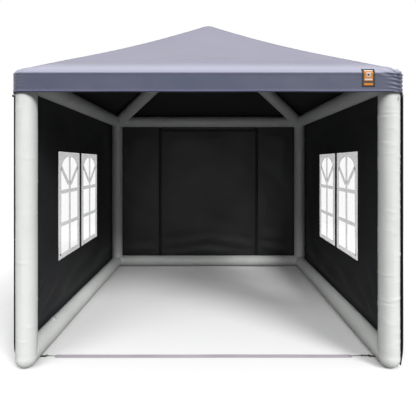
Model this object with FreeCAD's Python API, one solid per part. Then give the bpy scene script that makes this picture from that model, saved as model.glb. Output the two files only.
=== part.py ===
"""Inflatable square gazebo: an air-tube frame, a pyramid canopy with a valance, and walls on three sides.

Millimetres. +X is to the right, -Y is the open front and +Z is up. The origin is on the ground, at the
middle of the square plan.
"""
import FreeCAD, Part
import math
import os
from FreeCAD import Vector

# Driving dimensions
SPAN = 3000.0  # outside of the tubes, both ways
TUBE_R = 80.0  # an inflated tube
SQUASH = 2.0  # how far a tube on the ground is pressed flat
CAP_R = 81.5  # welded end caps and corners, slightly larger than the tube
EAVE_AXIS_Z = 2243.0  # axis of the eave rails
RAFTER_FOOT_Z = 2225.0  # where a rafter's axis meets its corner
APEX_AXIS_Z = 3075.0  # where the rafters' axes meet
HUB_R = 100.0  # round chamber at the apex
SLEEVE_T = 1.5  # coated cloth sleeve
BLADDER_T = 1.0  # air bladder inside the sleeve
BLADDER_GAP = 1.0

CLOTH_T = 1.5  # canopy and walls
CROWN = (70.0, 3172.0)  # distance from the middle and height where the round crown ends
EAVE = (1479.0, 2325.0)  # the same, where a roof panel rolls over the eave rail
PANEL_SAG = 33.0  # a roof panel dips this much below a straight line
EAVE_ROLL_R = 60.0
HALF_WIDTH = 1512.3  # outer face of the valance, which EAVE and the roll give
VALANCE_TOP_Z = 2278.0
VALANCE_BOTTOM_Z = 2133.0

WALL_IN = 1502.0  # inner face of the walls, just outside the tubes
WALL_OUT = WALL_IN + CLOTH_T
WALL_FRONT_Y = -1490.0
WALL_Z = (20.0, 2262.0)
WINDOW_Y = 634.0  # half the length of a side window
WINDOW_Z = (615.0, 1715.0)
BAND_Y = 25.0  # half the width of the band between a window's panes
DOOR_X = 755.0  # half the width of the back door, to the middle of its zips
DOOR_Z = (22.0, 2117.0)
HEADER_Z = 2120.0  # lower edge of the cloth above the door
ZIP_GAP = 0.4  # half the gap between the two sides of a zip
COIL = (3.0, 2.0)  # width and height of a zip's coil

SLIDER_Z = 60.0  # middle of a closed slider
STRAP_Y = -1270.0
STRAP_W = 50.0
STRAP_X = (-1250.0, 1180.0)
STRAP_T = 2.0
STRAP_LOW = 0.6  # the strap's height above the ground
RING_X = 1338.0  # straight bar of each strap ring
RING_Z = 5.5
RING_R = 16.0
WIRE_R = 2.0

VALVE_Y = -920.0
TOGGLE = Vector(1476.0, -1513.0, 2104.0)  # the front right ball, just outside the walls
TOGGLE_R = 9.0
ELASTIC_R = 1.5

# Derived places
AXIS = SPAN / 2 - TUBE_R  # axes of the legs and rails, from the middle
GROUND_AXIS_Z = TUBE_R - SQUASH
VALVE = Vector(-AXIS, VALVE_Y, GROUND_AXIS_Z + TUBE_R)
FAR = 4000.0
CORNERS = {
    "front_left": Vector(-AXIS, -AXIS, 0),
    "front_right": Vector(AXIS, -AXIS, 0),
    "back_left": Vector(-AXIS, AXIS, 0),
    "back_right": Vector(AXIS, AXIS, 0),
}
SIDES = {"front": 0, "right": 90, "back": 180, "left": 270}  # turn from the front, degrees


def box(x, y, z):
    """A box between pairs of limits."""
    return Part.makeBox(x[1] - x[0], y[1] - y[0], z[1] - z[0], Vector(x[0], y[0], z[0]))


def rod(start, end, radius):
    """A cylinder from one point to another."""
    line = end - start
    return Part.makeCylinder(radius, line.Length, start, line)


def ball(centre, radius):
    return Part.makeSphere(radius, centre)


def turned(shape, degrees):
    """A copy turned about the vertical through the origin."""
    copy = shape.copy()
    copy.rotate(Vector(0, 0, 0), Vector(0, 0, 1), degrees)
    return copy


def above(shape, z):
    """The part of a shape that is above a height."""
    return shape.common(box((-FAR, FAR), (-FAR, FAR), (z, z + 2 * FAR)))


def at_height(point, z):
    return Vector(point.x, point.y, z)


def wedge(side):
    """The quarter of space on one side, between the two vertical diagonal planes."""
    corners = [Vector(0, 0, -FAR), Vector(-FAR, -FAR, -FAR), Vector(FAR, -FAR, -FAR)]
    face = Part.Face(Part.makePolygon(corners + corners[:1]))
    return turned(face.extrude(Vector(0, 0, 3 * FAR)), SIDES[side])


# Air-tube frame


def leg(corner, shrink=0.0):
    """A leg with round ends, pressed flat on the ground, with its radii and floor taken in by shrink."""
    foot = at_height(corner, GROUND_AXIS_Z)
    top = at_height(corner, EAVE_AXIS_Z)
    ends = [ball(foot, CAP_R - shrink), ball(top, CAP_R - shrink)]
    return above(rod(foot, top, TUBE_R - shrink).fuse(ends), shrink)


def rail(side, z, shrink=0.0):
    """A horizontal tube along one side, from corner axis to corner axis."""
    tube = rod(Vector(-AXIS, -AXIS, z), Vector(AXIS, -AXIS, z), TUBE_R - shrink)
    return above(turned(tube, SIDES[side]), shrink)


def rafter_ends(corner):
    return at_height(corner, RAFTER_FOOT_Z), Vector(0, 0, APEX_AXIS_Z)


def quadrant(corner):
    """The quarter of space around a corner, between the two vertical planes through the middle."""
    x = (0, math.copysign(FAR, corner.x))
    y = (0, math.copysign(FAR, corner.y))
    return box(sorted(x), sorted(y), (0, FAR))


def sleeves(legs):
    """The cloth sleeves of the frame's tubes, by node name."""
    hub_at = Vector(0, 0, APEX_AXIS_Z)
    hub = ball(hub_at, HUB_R)
    eaves = {side: rail(side, EAVE_AXIS_Z) for side in SIDES}
    made = {f"leg_{name}": legs[name].cut(leg(at, SLEEVE_T)) for name, at in CORNERS.items()}
    leg_list = list(legs.values())
    for side in ("left", "right", "back"):
        tube = rail(side, GROUND_AXIS_Z).cut(rail(side, GROUND_AXIS_Z, SLEEVE_T)).cut(leg_list)
        trimmed = tube.common(wedge("back")) if side == "back" else tube.cut(wedge("back"))
        made[f"base_rail_{side}"] = trimmed
    for side in SIDES:
        tube = eaves[side].cut(rail(side, EAVE_AXIS_Z, SLEEVE_T)).cut(leg_list)
        made[f"eave_rail_{side}"] = tube.common(wedge(side))
    for name, corner in CORNERS.items():
        low, high = rafter_ends(corner)
        tube = rod(low, high, TUBE_R).common(quadrant(corner))
        tube = tube.cut([legs[name], hub] + list(eaves.values()))
        made[f"rafter_{name}"] = tube.cut(rod(low, high, TUBE_R - SLEEVE_T))
    made["apex_hub"] = hub.cut(ball(hub_at, HUB_R - SLEEVE_T))
    return made


def capsule(start, end, radius):
    """A rod with round ends, turned from half of its outline."""
    line = end - start
    slant = radius * math.sqrt(0.5)
    low = Part.Arc(Vector(0, 0, -radius), Vector(slant, 0, -slant), Vector(radius, 0, 0))
    side = Part.LineSegment(Vector(radius, 0, 0), Vector(radius, 0, line.Length))
    high_mid = Vector(slant, 0, line.Length + slant)
    high = Part.Arc(Vector(radius, 0, line.Length), high_mid, Vector(0, 0, line.Length + radius))
    middle = Part.LineSegment(Vector(0, 0, line.Length + radius), Vector(0, 0, -radius))
    half = Part.Face(Part.Wire([curve.toShape() for curve in (low, side, high, middle)]))
    solid = half.revolve(Vector(0, 0, 0), Vector(0, 0, 1), 360)
    solid.Placement = FreeCAD.Placement(start, FreeCAD.Rotation(Vector(0, 0, 1), line))
    return solid


def bladder(start, end, floor=False):
    """A closed air bladder with round ends between two points."""
    skins = []
    for extra in (0.0, BLADDER_T):
        shrink = SLEEVE_T + BLADDER_GAP + extra
        skin = capsule(start, end, TUBE_R - shrink)
        skins.append(above(skin, shrink) if floor else skin)
    return skins[0].cut(skins[1])


def along(start, end, distance):
    """The point at a distance from start towards end."""
    line = end - start
    return start + line * (distance / line.Length)


def bladders():
    """The air bladders, one group of solids for each kind of tube."""
    end_room = 175.0  # from a corner to the middle of a rail bladder's round end
    rafter_room = (265.0, 195.0)
    groups = {"leg_bladders": [], "base_rail_bladders": [], "eave_rail_bladders": [], "rafter_bladders": []}
    for corner in CORNERS.values():
        foot = at_height(corner, GROUND_AXIS_Z)
        groups["leg_bladders"].append(bladder(foot, at_height(corner, EAVE_AXIS_Z), floor=True))
        low, high = rafter_ends(corner)
        ends = along(low, high, rafter_room[0]), along(high, low, rafter_room[1])
        groups["rafter_bladders"].append(bladder(*ends))
    half = AXIS - end_room
    for side, turn in SIDES.items():
        for z, group in ((GROUND_AXIS_Z, "base_rail_bladders"), (EAVE_AXIS_Z, "eave_rail_bladders")):
            on_ground = z == GROUND_AXIS_Z
            if on_ground and side == "front":
                continue
            tube = bladder(Vector(-half, -AXIS, z), Vector(half, -AXIS, z), floor=on_ground)
            groups[group].append(turned(tube, turn))
    return groups


# Inflation valve, on top of the left base rail


def valve_hole():
    """The round hole that the valve passes through in the sleeve and the bladder."""
    return Part.makeCylinder(13.4, 60, VALVE - Vector(0, 0, 30))


def valve_disc(radius, low, high):
    """A disc on the valve's axis between two heights above the tube's top."""
    return Part.makeCylinder(radius, high - low, VALVE + Vector(0, 0, low))


def valve_body():
    """Saddle flange, collar with a mouth for a hose nozzle, a web for the pin, and ears for the cap."""
    rail_skin = rod(Vector(-AXIS, VALVE_Y - 60, GROUND_AXIS_Z), Vector(-AXIS, VALVE_Y + 60, GROUND_AXIS_Z), 80.3)
    flange = valve_disc(26, -10, 4).cut(rail_skin)
    body = flange.fuse([valve_disc(13, -18, 4), valve_disc(14, 4, 15)])
    body = body.cut([valve_disc(9, 5, 15), valve_disc(8, -6, 5), valve_disc(10, -18, -9), valve_disc(2.2, -9, -6)])
    for angle in (30, 150, 270):
        offset = Vector(5.2 * math.cos(math.radians(angle)), 5.2 * math.sin(math.radians(angle)), -9)
        body = body.cut(Part.makeCylinder(1.8, 3, VALVE + offset))
    ear_y = ((-7.5, -4.2), (4.2, 7.5))
    ears = [box((-20.5, -16.5), y, (3, 18.3)) for y in ear_y]
    hinge_pin = rod(Vector(-18.5, -7.5, 16.3), Vector(-18.5, 7.5, 16.3), 1.0)
    for piece in ears + [hinge_pin]:
        piece.translate(VALVE)
        body = body.fuse(piece)
    return body


def valve_cap():
    """A round cap over the mouth, a tab to lift it by, and a knuckle on the hinge pin."""
    cap = valve_disc(15, 15.3, 19.3)
    lift_tab = box((13, 19), (-4, 4), (15.3, 17.5))
    lift_tab.translate(VALVE)
    arm = box((-17.5, -12), (-3.8, 3.8), (15.4, 18.3))
    knuckle = rod(Vector(-18.5, -3.8, 16.3), Vector(-18.5, 3.8, 16.3), 2.0)
    bore = rod(Vector(-18.5, -5, 16.3), Vector(-18.5, 5, 16.3), 1.05)
    lug = arm.fuse(knuckle).cut(bore)
    lug.translate(VALVE)
    return cap.fuse([lug, lift_tab])


def valve_pin():
    """A pin with a push head above the web and a sealing disc below it."""
    return valve_disc(2, -11, 3).fuse([valve_disc(5, 2, 4), valve_disc(8.5, -12.2, -9.2)])


def valve_spring():
    """A coil spring between the web and the pin's head."""
    coil_r = 3.4
    wire_r = 0.4
    helix = Part.makeHelix(1.7, 6.8, coil_r)
    section = Part.Wire(Part.makeCircle(wire_r, Vector(coil_r, 0, 0), Vector(0, 1, 0)))
    spring = Part.Wire(helix).makePipeShell([section], True, True)
    spring.translate(VALVE + Vector(0, 0, -5.45))
    return spring


# Canopy


def slope_normal(angle):
    """The outward normal, as distance and height, of a roof line that falls at an angle."""
    return Vector(math.sin(angle), math.cos(angle), 0)


def roof_section(offset):
    """The area under half of the roof's outline, which is moved outwards by offset."""
    crown = Vector(CROWN[0], CROWN[1], 0)
    eave = Vector(EAVE[0], EAVE[1], 0)
    chord = eave - crown
    pitch = math.atan2(-chord.y, chord.x)
    bend = 2 * math.atan(2 * PANEL_SAG / chord.Length)
    steep = slope_normal(pitch + bend)
    gentle = slope_normal(pitch - bend)
    crown_r = CROWN[0] / steep.x
    roll_centre = eave - gentle * EAVE_ROLL_R
    roll_mid = slope_normal((pitch - bend + math.pi / 2) / 2)
    top = Vector(0, CROWN[1] - crown_r * steep.y + crown_r + offset, 0)
    crown_mid = Vector(0, top.y - crown_r - offset, 0) + slope_normal((pitch + bend) / 2) * (crown_r + offset)
    joint = crown + steep * offset
    middle = (crown + eave) * 0.5 + slope_normal(pitch) * (offset - PANEL_SAG)
    brow = eave + gentle * offset
    roll = roll_centre + roll_mid * (EAVE_ROLL_R + offset)
    side = roll_centre + Vector(EAVE_ROLL_R + offset, 0, 0)
    outline = [
        Part.Arc(*on_side(top, crown_mid, joint)),
        Part.Arc(*on_side(joint, middle, brow)),
        Part.Arc(*on_side(brow, roll, side)),
        Part.LineSegment(*on_side(side, Vector(side.x, 0, 0))),
        Part.LineSegment(*on_side(Vector(side.x, 0, 0), Vector(0, 0, 0))),
        Part.LineSegment(*on_side(Vector(0, 0, 0), top)),
    ]
    return Part.Face(Part.Wire([curve.toShape() for curve in outline]))


def on_side(*points):
    """Points given as distance and height, placed on the front side's middle plane."""
    return [Vector(-FAR, -p.x, p.y) for p in points]


def roof_skin(outer, inner):
    """The front quarter of a cloth skin between two offsets of the roof's outline."""
    length = Vector(2 * FAR, 0, 0)
    skin = roof_section(outer).extrude(length).cut(roof_section(inner).extrude(length))
    return skin.common(wedge("front"))


def canopy():
    """Four roof panels and four valance strips, by node name."""
    cloth = roof_skin(0.0, -CLOTH_T)
    panel = above(cloth, VALANCE_TOP_Z)
    strip = cloth.common(box((-FAR, FAR), (-FAR, FAR), (VALANCE_BOTTOM_Z, VALANCE_TOP_Z)))
    made = {f"roof_panel_{side}": turned(panel, turn) for side, turn in SIDES.items()}
    made.update({f"valance_{side}": turned(strip, turn) for side, turn in SIDES.items()})
    return made


def label_patch():
    """A blank sewn patch that follows the valance and the eave."""
    return roof_skin(1.0, 0.0).common(box((1170, 1270), (-FAR, 0), (2173, 2304)))


def four_corners(shape):
    """The shape, given at the front right corner, and its three mirror images."""
    pair = [shape, shape.mirror(Vector(0, 0, 0), Vector(1, 0, 0))]
    return pair + [piece.mirror(Vector(0, 0, 0), Vector(0, 1, 0)) for piece in pair]


def toggles():
    """Ball toggles under the canopy's corners, and the elastic that holds each one."""
    inside = ELASTIC_R - HALF_WIDTH + CLOTH_T
    low = Vector(TOGGLE.x, inside, TOGGLE.z)
    sewn = Vector(TOGGLE.x - 20, inside, VALANCE_BOTTOM_Z + 17)
    toggle = ball(TOGGLE, TOGGLE_R)
    elastic = rod(low, sewn, ELASTIC_R).cut(toggle)
    return four_corners(toggle), four_corners(elastic)


# Walls, windows and the back door


def wall_box(side, along_wall, z, across=(WALL_IN, WALL_OUT)):
    """A flat piece on the left or right wall, between limits along Y, in Z and outwards from the middle."""
    x = across if side == "right" else (-across[1], -across[0])
    return box(x, along_wall, z)


def walls():
    """Wall cloth, window panes and bands, edge zips and hook tapes, by node name."""
    made = {}
    for side in ("left", "right"):
        cloth = wall_box(side, (WALL_FRONT_Y, WALL_OUT), WALL_Z)
        made[f"wall_{side}"] = cloth.cut(wall_box(side, (-WINDOW_Y, WINDOW_Y), WINDOW_Z))
        made[f"window_pane_{side}_front"] = wall_box(side, (-WINDOW_Y, -BAND_Y), WINDOW_Z)
        made[f"window_pane_{side}_back"] = wall_box(side, (BAND_Y, WINDOW_Y), WINDOW_Z)
        made[f"window_band_{side}"] = wall_box(side, (-BAND_Y, BAND_Y), WINDOW_Z)
    back_y = (WALL_IN, WALL_OUT)
    edge = DOOR_X + ZIP_GAP
    made["back_panel_left"] = box((-WALL_IN, -edge), back_y, WALL_Z)
    made["back_panel_right"] = box((edge, WALL_IN), back_y, WALL_Z)
    made["door_header"] = box((-edge, edge), back_y, (HEADER_Z, WALL_Z[1]))
    made["back_door"] = box((-DOOR_X + ZIP_GAP, DOOR_X - ZIP_GAP), back_y, DOOR_Z)
    return made


def wall_trim():
    """Coils of the door's zips, half zips on the walls' front edges, and hook tapes, by node name."""
    coil_y = (WALL_OUT, WALL_OUT + COIL[1])
    coil_z = (DOOR_Z[0] + 5, DOOR_Z[1] - 12)
    on_wall = (DOOR_X + ZIP_GAP, DOOR_X + ZIP_GAP + COIL[0])
    on_door = (DOOR_X - ZIP_GAP - COIL[0], DOOR_X - ZIP_GAP)
    mirrored = [tuple(sorted((-x[0], -x[1]))) for x in (on_wall, on_door)]
    edge_y = (WALL_FRONT_Y, WALL_FRONT_Y + 10)
    tape_z = (EAVE_AXIS_Z - 13, EAVE_AXIS_Z + 13)
    tape = (SPAN / 2 + 0.3, WALL_IN)
    return {
        "door_zip_coils_wall": [box(x, coil_y, coil_z) for x in (on_wall, mirrored[0])],
        "door_zip_coils_door": [box(x, coil_y, coil_z) for x in (on_door, mirrored[1])],
        "front_edge_zips": [wall_box(s, edge_y, (40, 2120), (WALL_IN - 1.4, WALL_IN)) for s in ("left", "right")],
        "wall_hook_tapes": [wall_box(s, (-1300, 1300), tape_z, tape) for s in ("left", "right")]
        + [box((-1300, 1300), tape, tape_z)],
    }


def zip_slider(x):
    """A slider plate over both coils, with a guide beside the door's coil and a crown for the pull."""
    y = WALL_OUT + COIL[1] + 0.3
    inner = -1 if x > 0 else 1
    plate = box((x - 6, x + 6), (y, y + 1.6), (SLIDER_Z - 13, SLIDER_Z + 13))
    guide_x = sorted((x + inner * 6, x + inner * 3.9))
    guide = box(guide_x, (WALL_OUT + 0.3, y), (SLIDER_Z - 13, SLIDER_Z + 13))
    crown = box((x - 1.5, x + 1.5), (y + 1.6, y + 5.0), (SLIDER_Z - 7, SLIDER_Z + 9))
    slot = box((x - 2, x + 2), (y + 1.6, y + 3.8), (SLIDER_Z - 5, SLIDER_Z + 7))
    return plate.fuse([guide, crown.cut(slot)])


def zip_pull(x):
    """A pull tab whose top bar passes under the slider's crown."""
    pivot = pull_pivot(x)
    bar = rod(pivot + Vector(-4.5, 0, 0), pivot + Vector(4.5, 0, 0), 0.8)
    thick = (pivot.y - 0.6, pivot.y + 0.6)
    arms = [box((x + s - 0.8, x + s + 0.8), thick, (pivot.z - 14, pivot.z)) for s in (-3.7, 3.7)]
    neck = box((x - 4.5, x + 4.5), thick, (pivot.z - 18, pivot.z - 13.2))
    tab = box((x - 5.5, x + 5.5), thick, (pivot.z - 44, pivot.z - 18))
    return bar.fuse(arms + [tab, neck])


def pull_pivot(x):
    return Vector(x, WALL_OUT + COIL[1] + 0.3 + 1.6 + 1.1, SLIDER_Z + 5)


# Ground strap across the open front


def strap_ring(side):
    """A D-ring that lies flat, with its bar by the base rail and its bow towards the strap."""
    bar_at = Vector(side * RING_X, STRAP_Y, RING_Z)
    torus = Part.makeTorus(RING_R, WIRE_R, bar_at)
    bow_x = sorted((side * RING_X, side * (RING_X - 2 * RING_R)))
    bow = torus.common(box(bow_x, (STRAP_Y - 40, STRAP_Y + 40), (0, 20)))
    ends = [bar_at + Vector(0, RING_R, 0), bar_at - Vector(0, RING_R, 0)]
    return bow.fuse([rod(ends[0], ends[1], WIRE_R), ball(ends[0], WIRE_R), ball(ends[1], WIRE_R)])


def strap_tab(side):
    """A webbing tab under the base rail that loops round the ring's bar."""
    bar_at = Vector(side * RING_X, STRAP_Y, RING_Z)
    half = Vector(0, 12, 0)
    loop = rod(bar_at - half, bar_at + half, 4.2)
    flat_x = sorted((side * RING_X, side * (AXIS - 20)))
    flat = box(flat_x, (STRAP_Y - 12, STRAP_Y + 12), (RING_Z - 4.2, RING_Z - 2.9))
    tube = rail("right" if side > 0 else "left", GROUND_AXIS_Z)
    return loop.fuse(flat).cut([rod(bar_at - half, bar_at + half, WIRE_R + 0.3), tube])


def ground_strap():
    """The webbing, with its ends folded and sewn."""
    flat = box(STRAP_X, (STRAP_Y - STRAP_W / 2, STRAP_Y + STRAP_W / 2), (STRAP_LOW, STRAP_LOW + STRAP_T))
    folds = [(STRAP_X[0] - 10, STRAP_X[0]), (STRAP_X[1], STRAP_X[1] + 10)]
    ends = [box(x, (STRAP_Y - 12, STRAP_Y + 12), (STRAP_LOW, STRAP_LOW + 6)) for x in folds]
    return flat.fuse(ends)


def strap_hook():
    """The hook at the right end: an eye for the cord and a lip that drops into the ring."""
    z = (RING_Z + WIRE_R + 0.5, RING_Z + WIRE_R + 3.5)
    eye_at = Vector(RING_X - 66, STRAP_Y, z[0])
    shank = box((RING_X - 60, RING_X - 9), (STRAP_Y - 5, STRAP_Y + 5), z)
    lip = box((RING_X - 12.8, RING_X - 9), (STRAP_Y - 5, STRAP_Y + 5), (RING_Z - 3.5, z[1]))
    eye = Part.makeCylinder(9, z[1] - z[0], eye_at).cut(Part.makeCylinder(4.5, z[1] - z[0], eye_at))
    hole = Part.makeCylinder(4.5, z[1] - z[0], eye_at)
    return shank.fuse([lip, eye]).cut(hole)


def strap_cords():
    """The short cords that tie the strap to the hook on the right and to the ring on the left."""
    cord_r = 2.5
    low = STRAP_LOW + 3.4
    right_start = Vector(STRAP_X[1] + 10, STRAP_Y, low)
    right_end = Vector(RING_X - 75.2, STRAP_Y, RING_Z + WIRE_R + 2)
    right = rod(right_start, right_end, cord_r)
    bow = Vector(RING_R - RING_X, STRAP_Y, RING_Z)
    noose = Part.makeTorus(3.6, 1.2, bow, Vector(0, 1, 0))
    left = rod(Vector(STRAP_X[0] - 10, STRAP_Y, low), bow + Vector(3.6, 0, 0), cord_r)
    left = left.cut(rod(bow - Vector(0, 9, 0), bow + Vector(0, 9, 0), WIRE_R + 0.4))
    return [right, left.fuse(noose)]


def build():
    """Every node's shape, by name: one solid, or a list of identical ones."""
    legs = {name: leg(at) for name, at in CORNERS.items()}
    nodes = sleeves(legs)
    groups = bladders()
    hole = valve_hole()
    nodes["base_rail_left"] = nodes["base_rail_left"].cut(hole)
    groups["base_rail_bladders"] = [tube.cut(hole) for tube in groups["base_rail_bladders"]]
    nodes.update(groups)
    nodes.update(canopy())
    nodes.update(walls())
    nodes.update(wall_trim())
    nodes["label_patch"] = label_patch()
    nodes["toggle_balls"], nodes["toggle_elastics"] = toggles()
    for name, x in (("left", -DOOR_X), ("right", DOOR_X)):
        nodes[f"zip_slider_{name}"] = zip_slider(x)
        nodes[f"zip_pull_{name}"] = zip_pull(x)
    nodes["valve_body"] = valve_body()
    nodes["valve_cap"] = valve_cap()
    nodes["valve_pin"] = valve_pin()
    nodes["valve_spring"] = valve_spring()
    nodes["ground_strap"] = ground_strap()
    nodes["strap_hook"] = strap_hook()
    nodes["strap_cords"] = strap_cords()
    nodes["strap_rings"] = [strap_ring(side) for side in (-1, 1)]
    nodes["strap_tabs"] = [strap_tab(side) for side in (-1, 1)]
    return nodes


def main():
    os.makedirs("parts", exist_ok=True)
    nodes = build()
    for name, made in sorted(nodes.items()):
        pieces = made if isinstance(made, list) else [made]
        solids = [solid for piece in pieces for solid in piece.Solids]
        shape = solids[0] if len(solids) == 1 else Part.makeCompound(solids)
        shape.exportStep(f"parts/{name}.step")
        limits = shape.BoundBox
        print(
            f"{name:26s} {len(solids)}/{len(pieces)} solids, valid {shape.isValid()}, "
            f"x {limits.XMin:.1f}..{limits.XMax:.1f}, y {limits.YMin:.1f}..{limits.YMax:.1f}, "
            f"z {limits.ZMin:.1f}..{limits.ZMax:.1f}"
        )
    print(len(nodes), "nodes")


main()
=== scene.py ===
import math

import bpy
import numpy as np
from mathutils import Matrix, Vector


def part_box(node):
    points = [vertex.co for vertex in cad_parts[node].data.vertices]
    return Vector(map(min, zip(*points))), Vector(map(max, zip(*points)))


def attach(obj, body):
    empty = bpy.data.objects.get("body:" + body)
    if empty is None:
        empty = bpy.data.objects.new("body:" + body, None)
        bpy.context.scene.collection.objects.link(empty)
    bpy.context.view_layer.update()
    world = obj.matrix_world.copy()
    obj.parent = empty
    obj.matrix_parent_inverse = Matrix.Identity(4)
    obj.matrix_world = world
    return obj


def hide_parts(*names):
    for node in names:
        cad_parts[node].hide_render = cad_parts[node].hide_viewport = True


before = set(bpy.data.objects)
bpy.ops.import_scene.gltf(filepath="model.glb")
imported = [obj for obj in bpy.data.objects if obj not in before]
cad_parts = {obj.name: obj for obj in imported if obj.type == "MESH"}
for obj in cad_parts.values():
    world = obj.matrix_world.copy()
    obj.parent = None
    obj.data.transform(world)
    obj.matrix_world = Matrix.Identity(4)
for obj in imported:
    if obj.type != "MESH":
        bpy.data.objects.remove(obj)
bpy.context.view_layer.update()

# Places, in metres, from the frame

LEG_LOW, LEG_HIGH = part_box("leg_front_right")
AXIS = (LEG_LOW[0] + LEG_HIGH[0]) / 2
TUBE_R = 0.080
CAP_R = 0.0815
GROUND_Z = 0.078
EAVE_Z = 2.243
RAFTER_FOOT_Z = 2.225
APEX_Z = 3.075
HUB_R = 0.100
HEM_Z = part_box("valance_front")[0][2]
SEAM_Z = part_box("valance_front")[1][2]
CROWN = (0.070, 3.172)
EAVE = (1.479, 2.325)
PANEL_SAG = 0.033
ROLL_R = 0.060
WALL = (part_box("wall_right")[0][0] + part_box("wall_right")[1][0]) / 2
WALL_LOW, WALL_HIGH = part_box("wall_right")
DOOR_LOW, DOOR_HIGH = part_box("back_door")
HEADER_LOW, HEADER_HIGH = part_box("door_header")
BAND_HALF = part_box("window_band_right")[1][1]
WINDOW_LOW, WINDOW_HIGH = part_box("window_pane_right_front")[0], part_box("window_pane_right_back")[1]
CORNERS = {"front_left": (-1, -1), "front_right": (1, -1), "back_left": (-1, 1), "back_right": (1, 1)}
SIDES = {"front": (0, -1), "right": (1, 0), "back": (0, 1), "left": (-1, 0)}
OUTSIDE = {"left": (-1.0, 0, 0), "right": (1.0, 0, 0), "back": (0, 1.0, 0)}
UP = np.array([0.0, 0.0, 1.0])


# Meshes


def smooth_step(value):
    """Nought below 0, one above 1 and a smooth rise between."""
    t = np.clip(value, 0.0, 1.0)
    return t * t * (3 - 2 * t)


def unit(vectors):
    return vectors / np.maximum(np.linalg.norm(vectors, axis=-1, keepdims=True), 1e-12)


def make_piece(name, points, faces, materials, body, uv=None, node=()):
    """A mesh object that rides on a body, with its finish's slot and the CAD nodes that it stands for."""
    mesh = bpy.data.meshes.new(name)
    mesh.from_pydata(np.asarray(points, dtype=float).reshape(-1, 3).tolist(), [], [list(f) for f in faces])
    if uv is not None:
        layer = mesh.uv_layers.new(name="cloth")
        layer.data.foreach_set("uv", np.asarray(uv, dtype=np.float32).ravel())
    for material in materials if isinstance(materials, (list, tuple)) else [materials]:
        mesh.materials.append(material)
    mesh.polygons.foreach_set("use_smooth", [True] * len(mesh.polygons))
    mesh.update()
    piece = bpy.data.objects.new(name, mesh)
    bpy.context.scene.collection.objects.link(piece)
    return register(piece, body, node)


def register(piece, body, node=()):
    if node:
        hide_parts(*([node] if isinstance(node, str) else node))
    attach(piece, body)
    return piece


def grid_faces(rows, cols, wrap=False, flip=False, keep=None, first=0):
    """Quads of a grid of points, and each corner's row and column, which run past the last round a wrap."""
    r, c = np.meshgrid(np.arange(rows - 1), np.arange(cols if wrap else cols - 1), indexing="ij")
    if keep is not None:
        r, c = r[keep], c[keep]
    r, c = r.ravel(), c.ravel()
    corner_r = np.stack([r, r, r + 1, r + 1], 1)
    corner_c = np.stack([c, c + 1, c + 1, c], 1)
    if flip:
        corner_r, corner_c = corner_r[:, ::-1], corner_c[:, ::-1]
    faces = first + corner_r * cols + corner_c % cols
    return faces, corner_r, corner_c


def grid_uv(corner_r, corner_c, along, around):
    """Cloth coordinates in metres for each corner of a grid's quads."""
    return np.stack([along[corner_c], around[corner_r]], -1).reshape(-1, 2)


def lengths(points):
    """Distance along a line of points."""
    steps = np.linalg.norm(np.diff(points, axis=0), axis=1)
    return np.concatenate([[0.0], np.cumsum(steps)])


def thicken(piece, thickness, offset=-1.0, lining=0):
    """Gives a cloth its thickness, and the slot of its lining if it has one."""
    wall = piece.modifiers.new("thickness", "SOLIDIFY")
    wall.thickness = thickness
    wall.offset = offset
    wall.material_offset = lining
    wall.use_even_offset = False
    return piece


# Material groups


def node(tree, kind, inputs=None, **settings):
    made = tree.nodes.new(kind)
    for key, value in settings.items():
        setattr(made, key, value)
    for key, value in (inputs or {}).items():
        if isinstance(value, bpy.types.NodeSocket):
            tree.links.new(value, made.inputs[key])
        else:
            made.inputs[key].default_value = value
    return made


def maths(tree, operation, *values):
    return node(tree, "ShaderNodeMath", dict(enumerate(values)), operation=operation).outputs[0]


def spread(tree, value, low, high, at_low=0.0, at_high=1.0, **settings):
    """A value moved from one range to another, and held at its ends."""
    sizes = {"Value": value, "From Min": low, "From Max": high, "To Min": at_low, "To Max": at_high}
    return node(tree, "ShaderNodeMapRange", sizes, **settings).outputs[0]


def mix(tree, share, a, b):
    """A colour between two, each given as a colour or as a socket."""
    return node(tree, "ShaderNodeMix", {"Factor": share, "A": a, "B": b}, data_type="RGBA").outputs["Result"]


def noise(tree, where, size, detail, **more):
    """Noise with spots of a size."""
    sockets = {"Vector": where, "Scale": maths(tree, "DIVIDE", 1.0, size), "Detail": detail} | more
    return node(tree, "ShaderNodeTexNoise", sockets).outputs["Fac"]


def new_group(name, inputs, outputs):
    group = bpy.data.node_groups.new(name, "ShaderNodeTree")
    group.interface.new_socket("Vector", in_out="INPUT", socket_type="NodeSocketVector")
    for label, value in inputs.items():
        group.interface.new_socket(label, in_out="INPUT", socket_type="NodeSocketFloat").default_value = value
    for label in outputs:
        group.interface.new_socket(label, in_out="OUTPUT", socket_type="NodeSocketFloat")
    return group, group.nodes.new("NodeGroupInput").outputs, group.nodes.new("NodeGroupOutput").inputs


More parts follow.
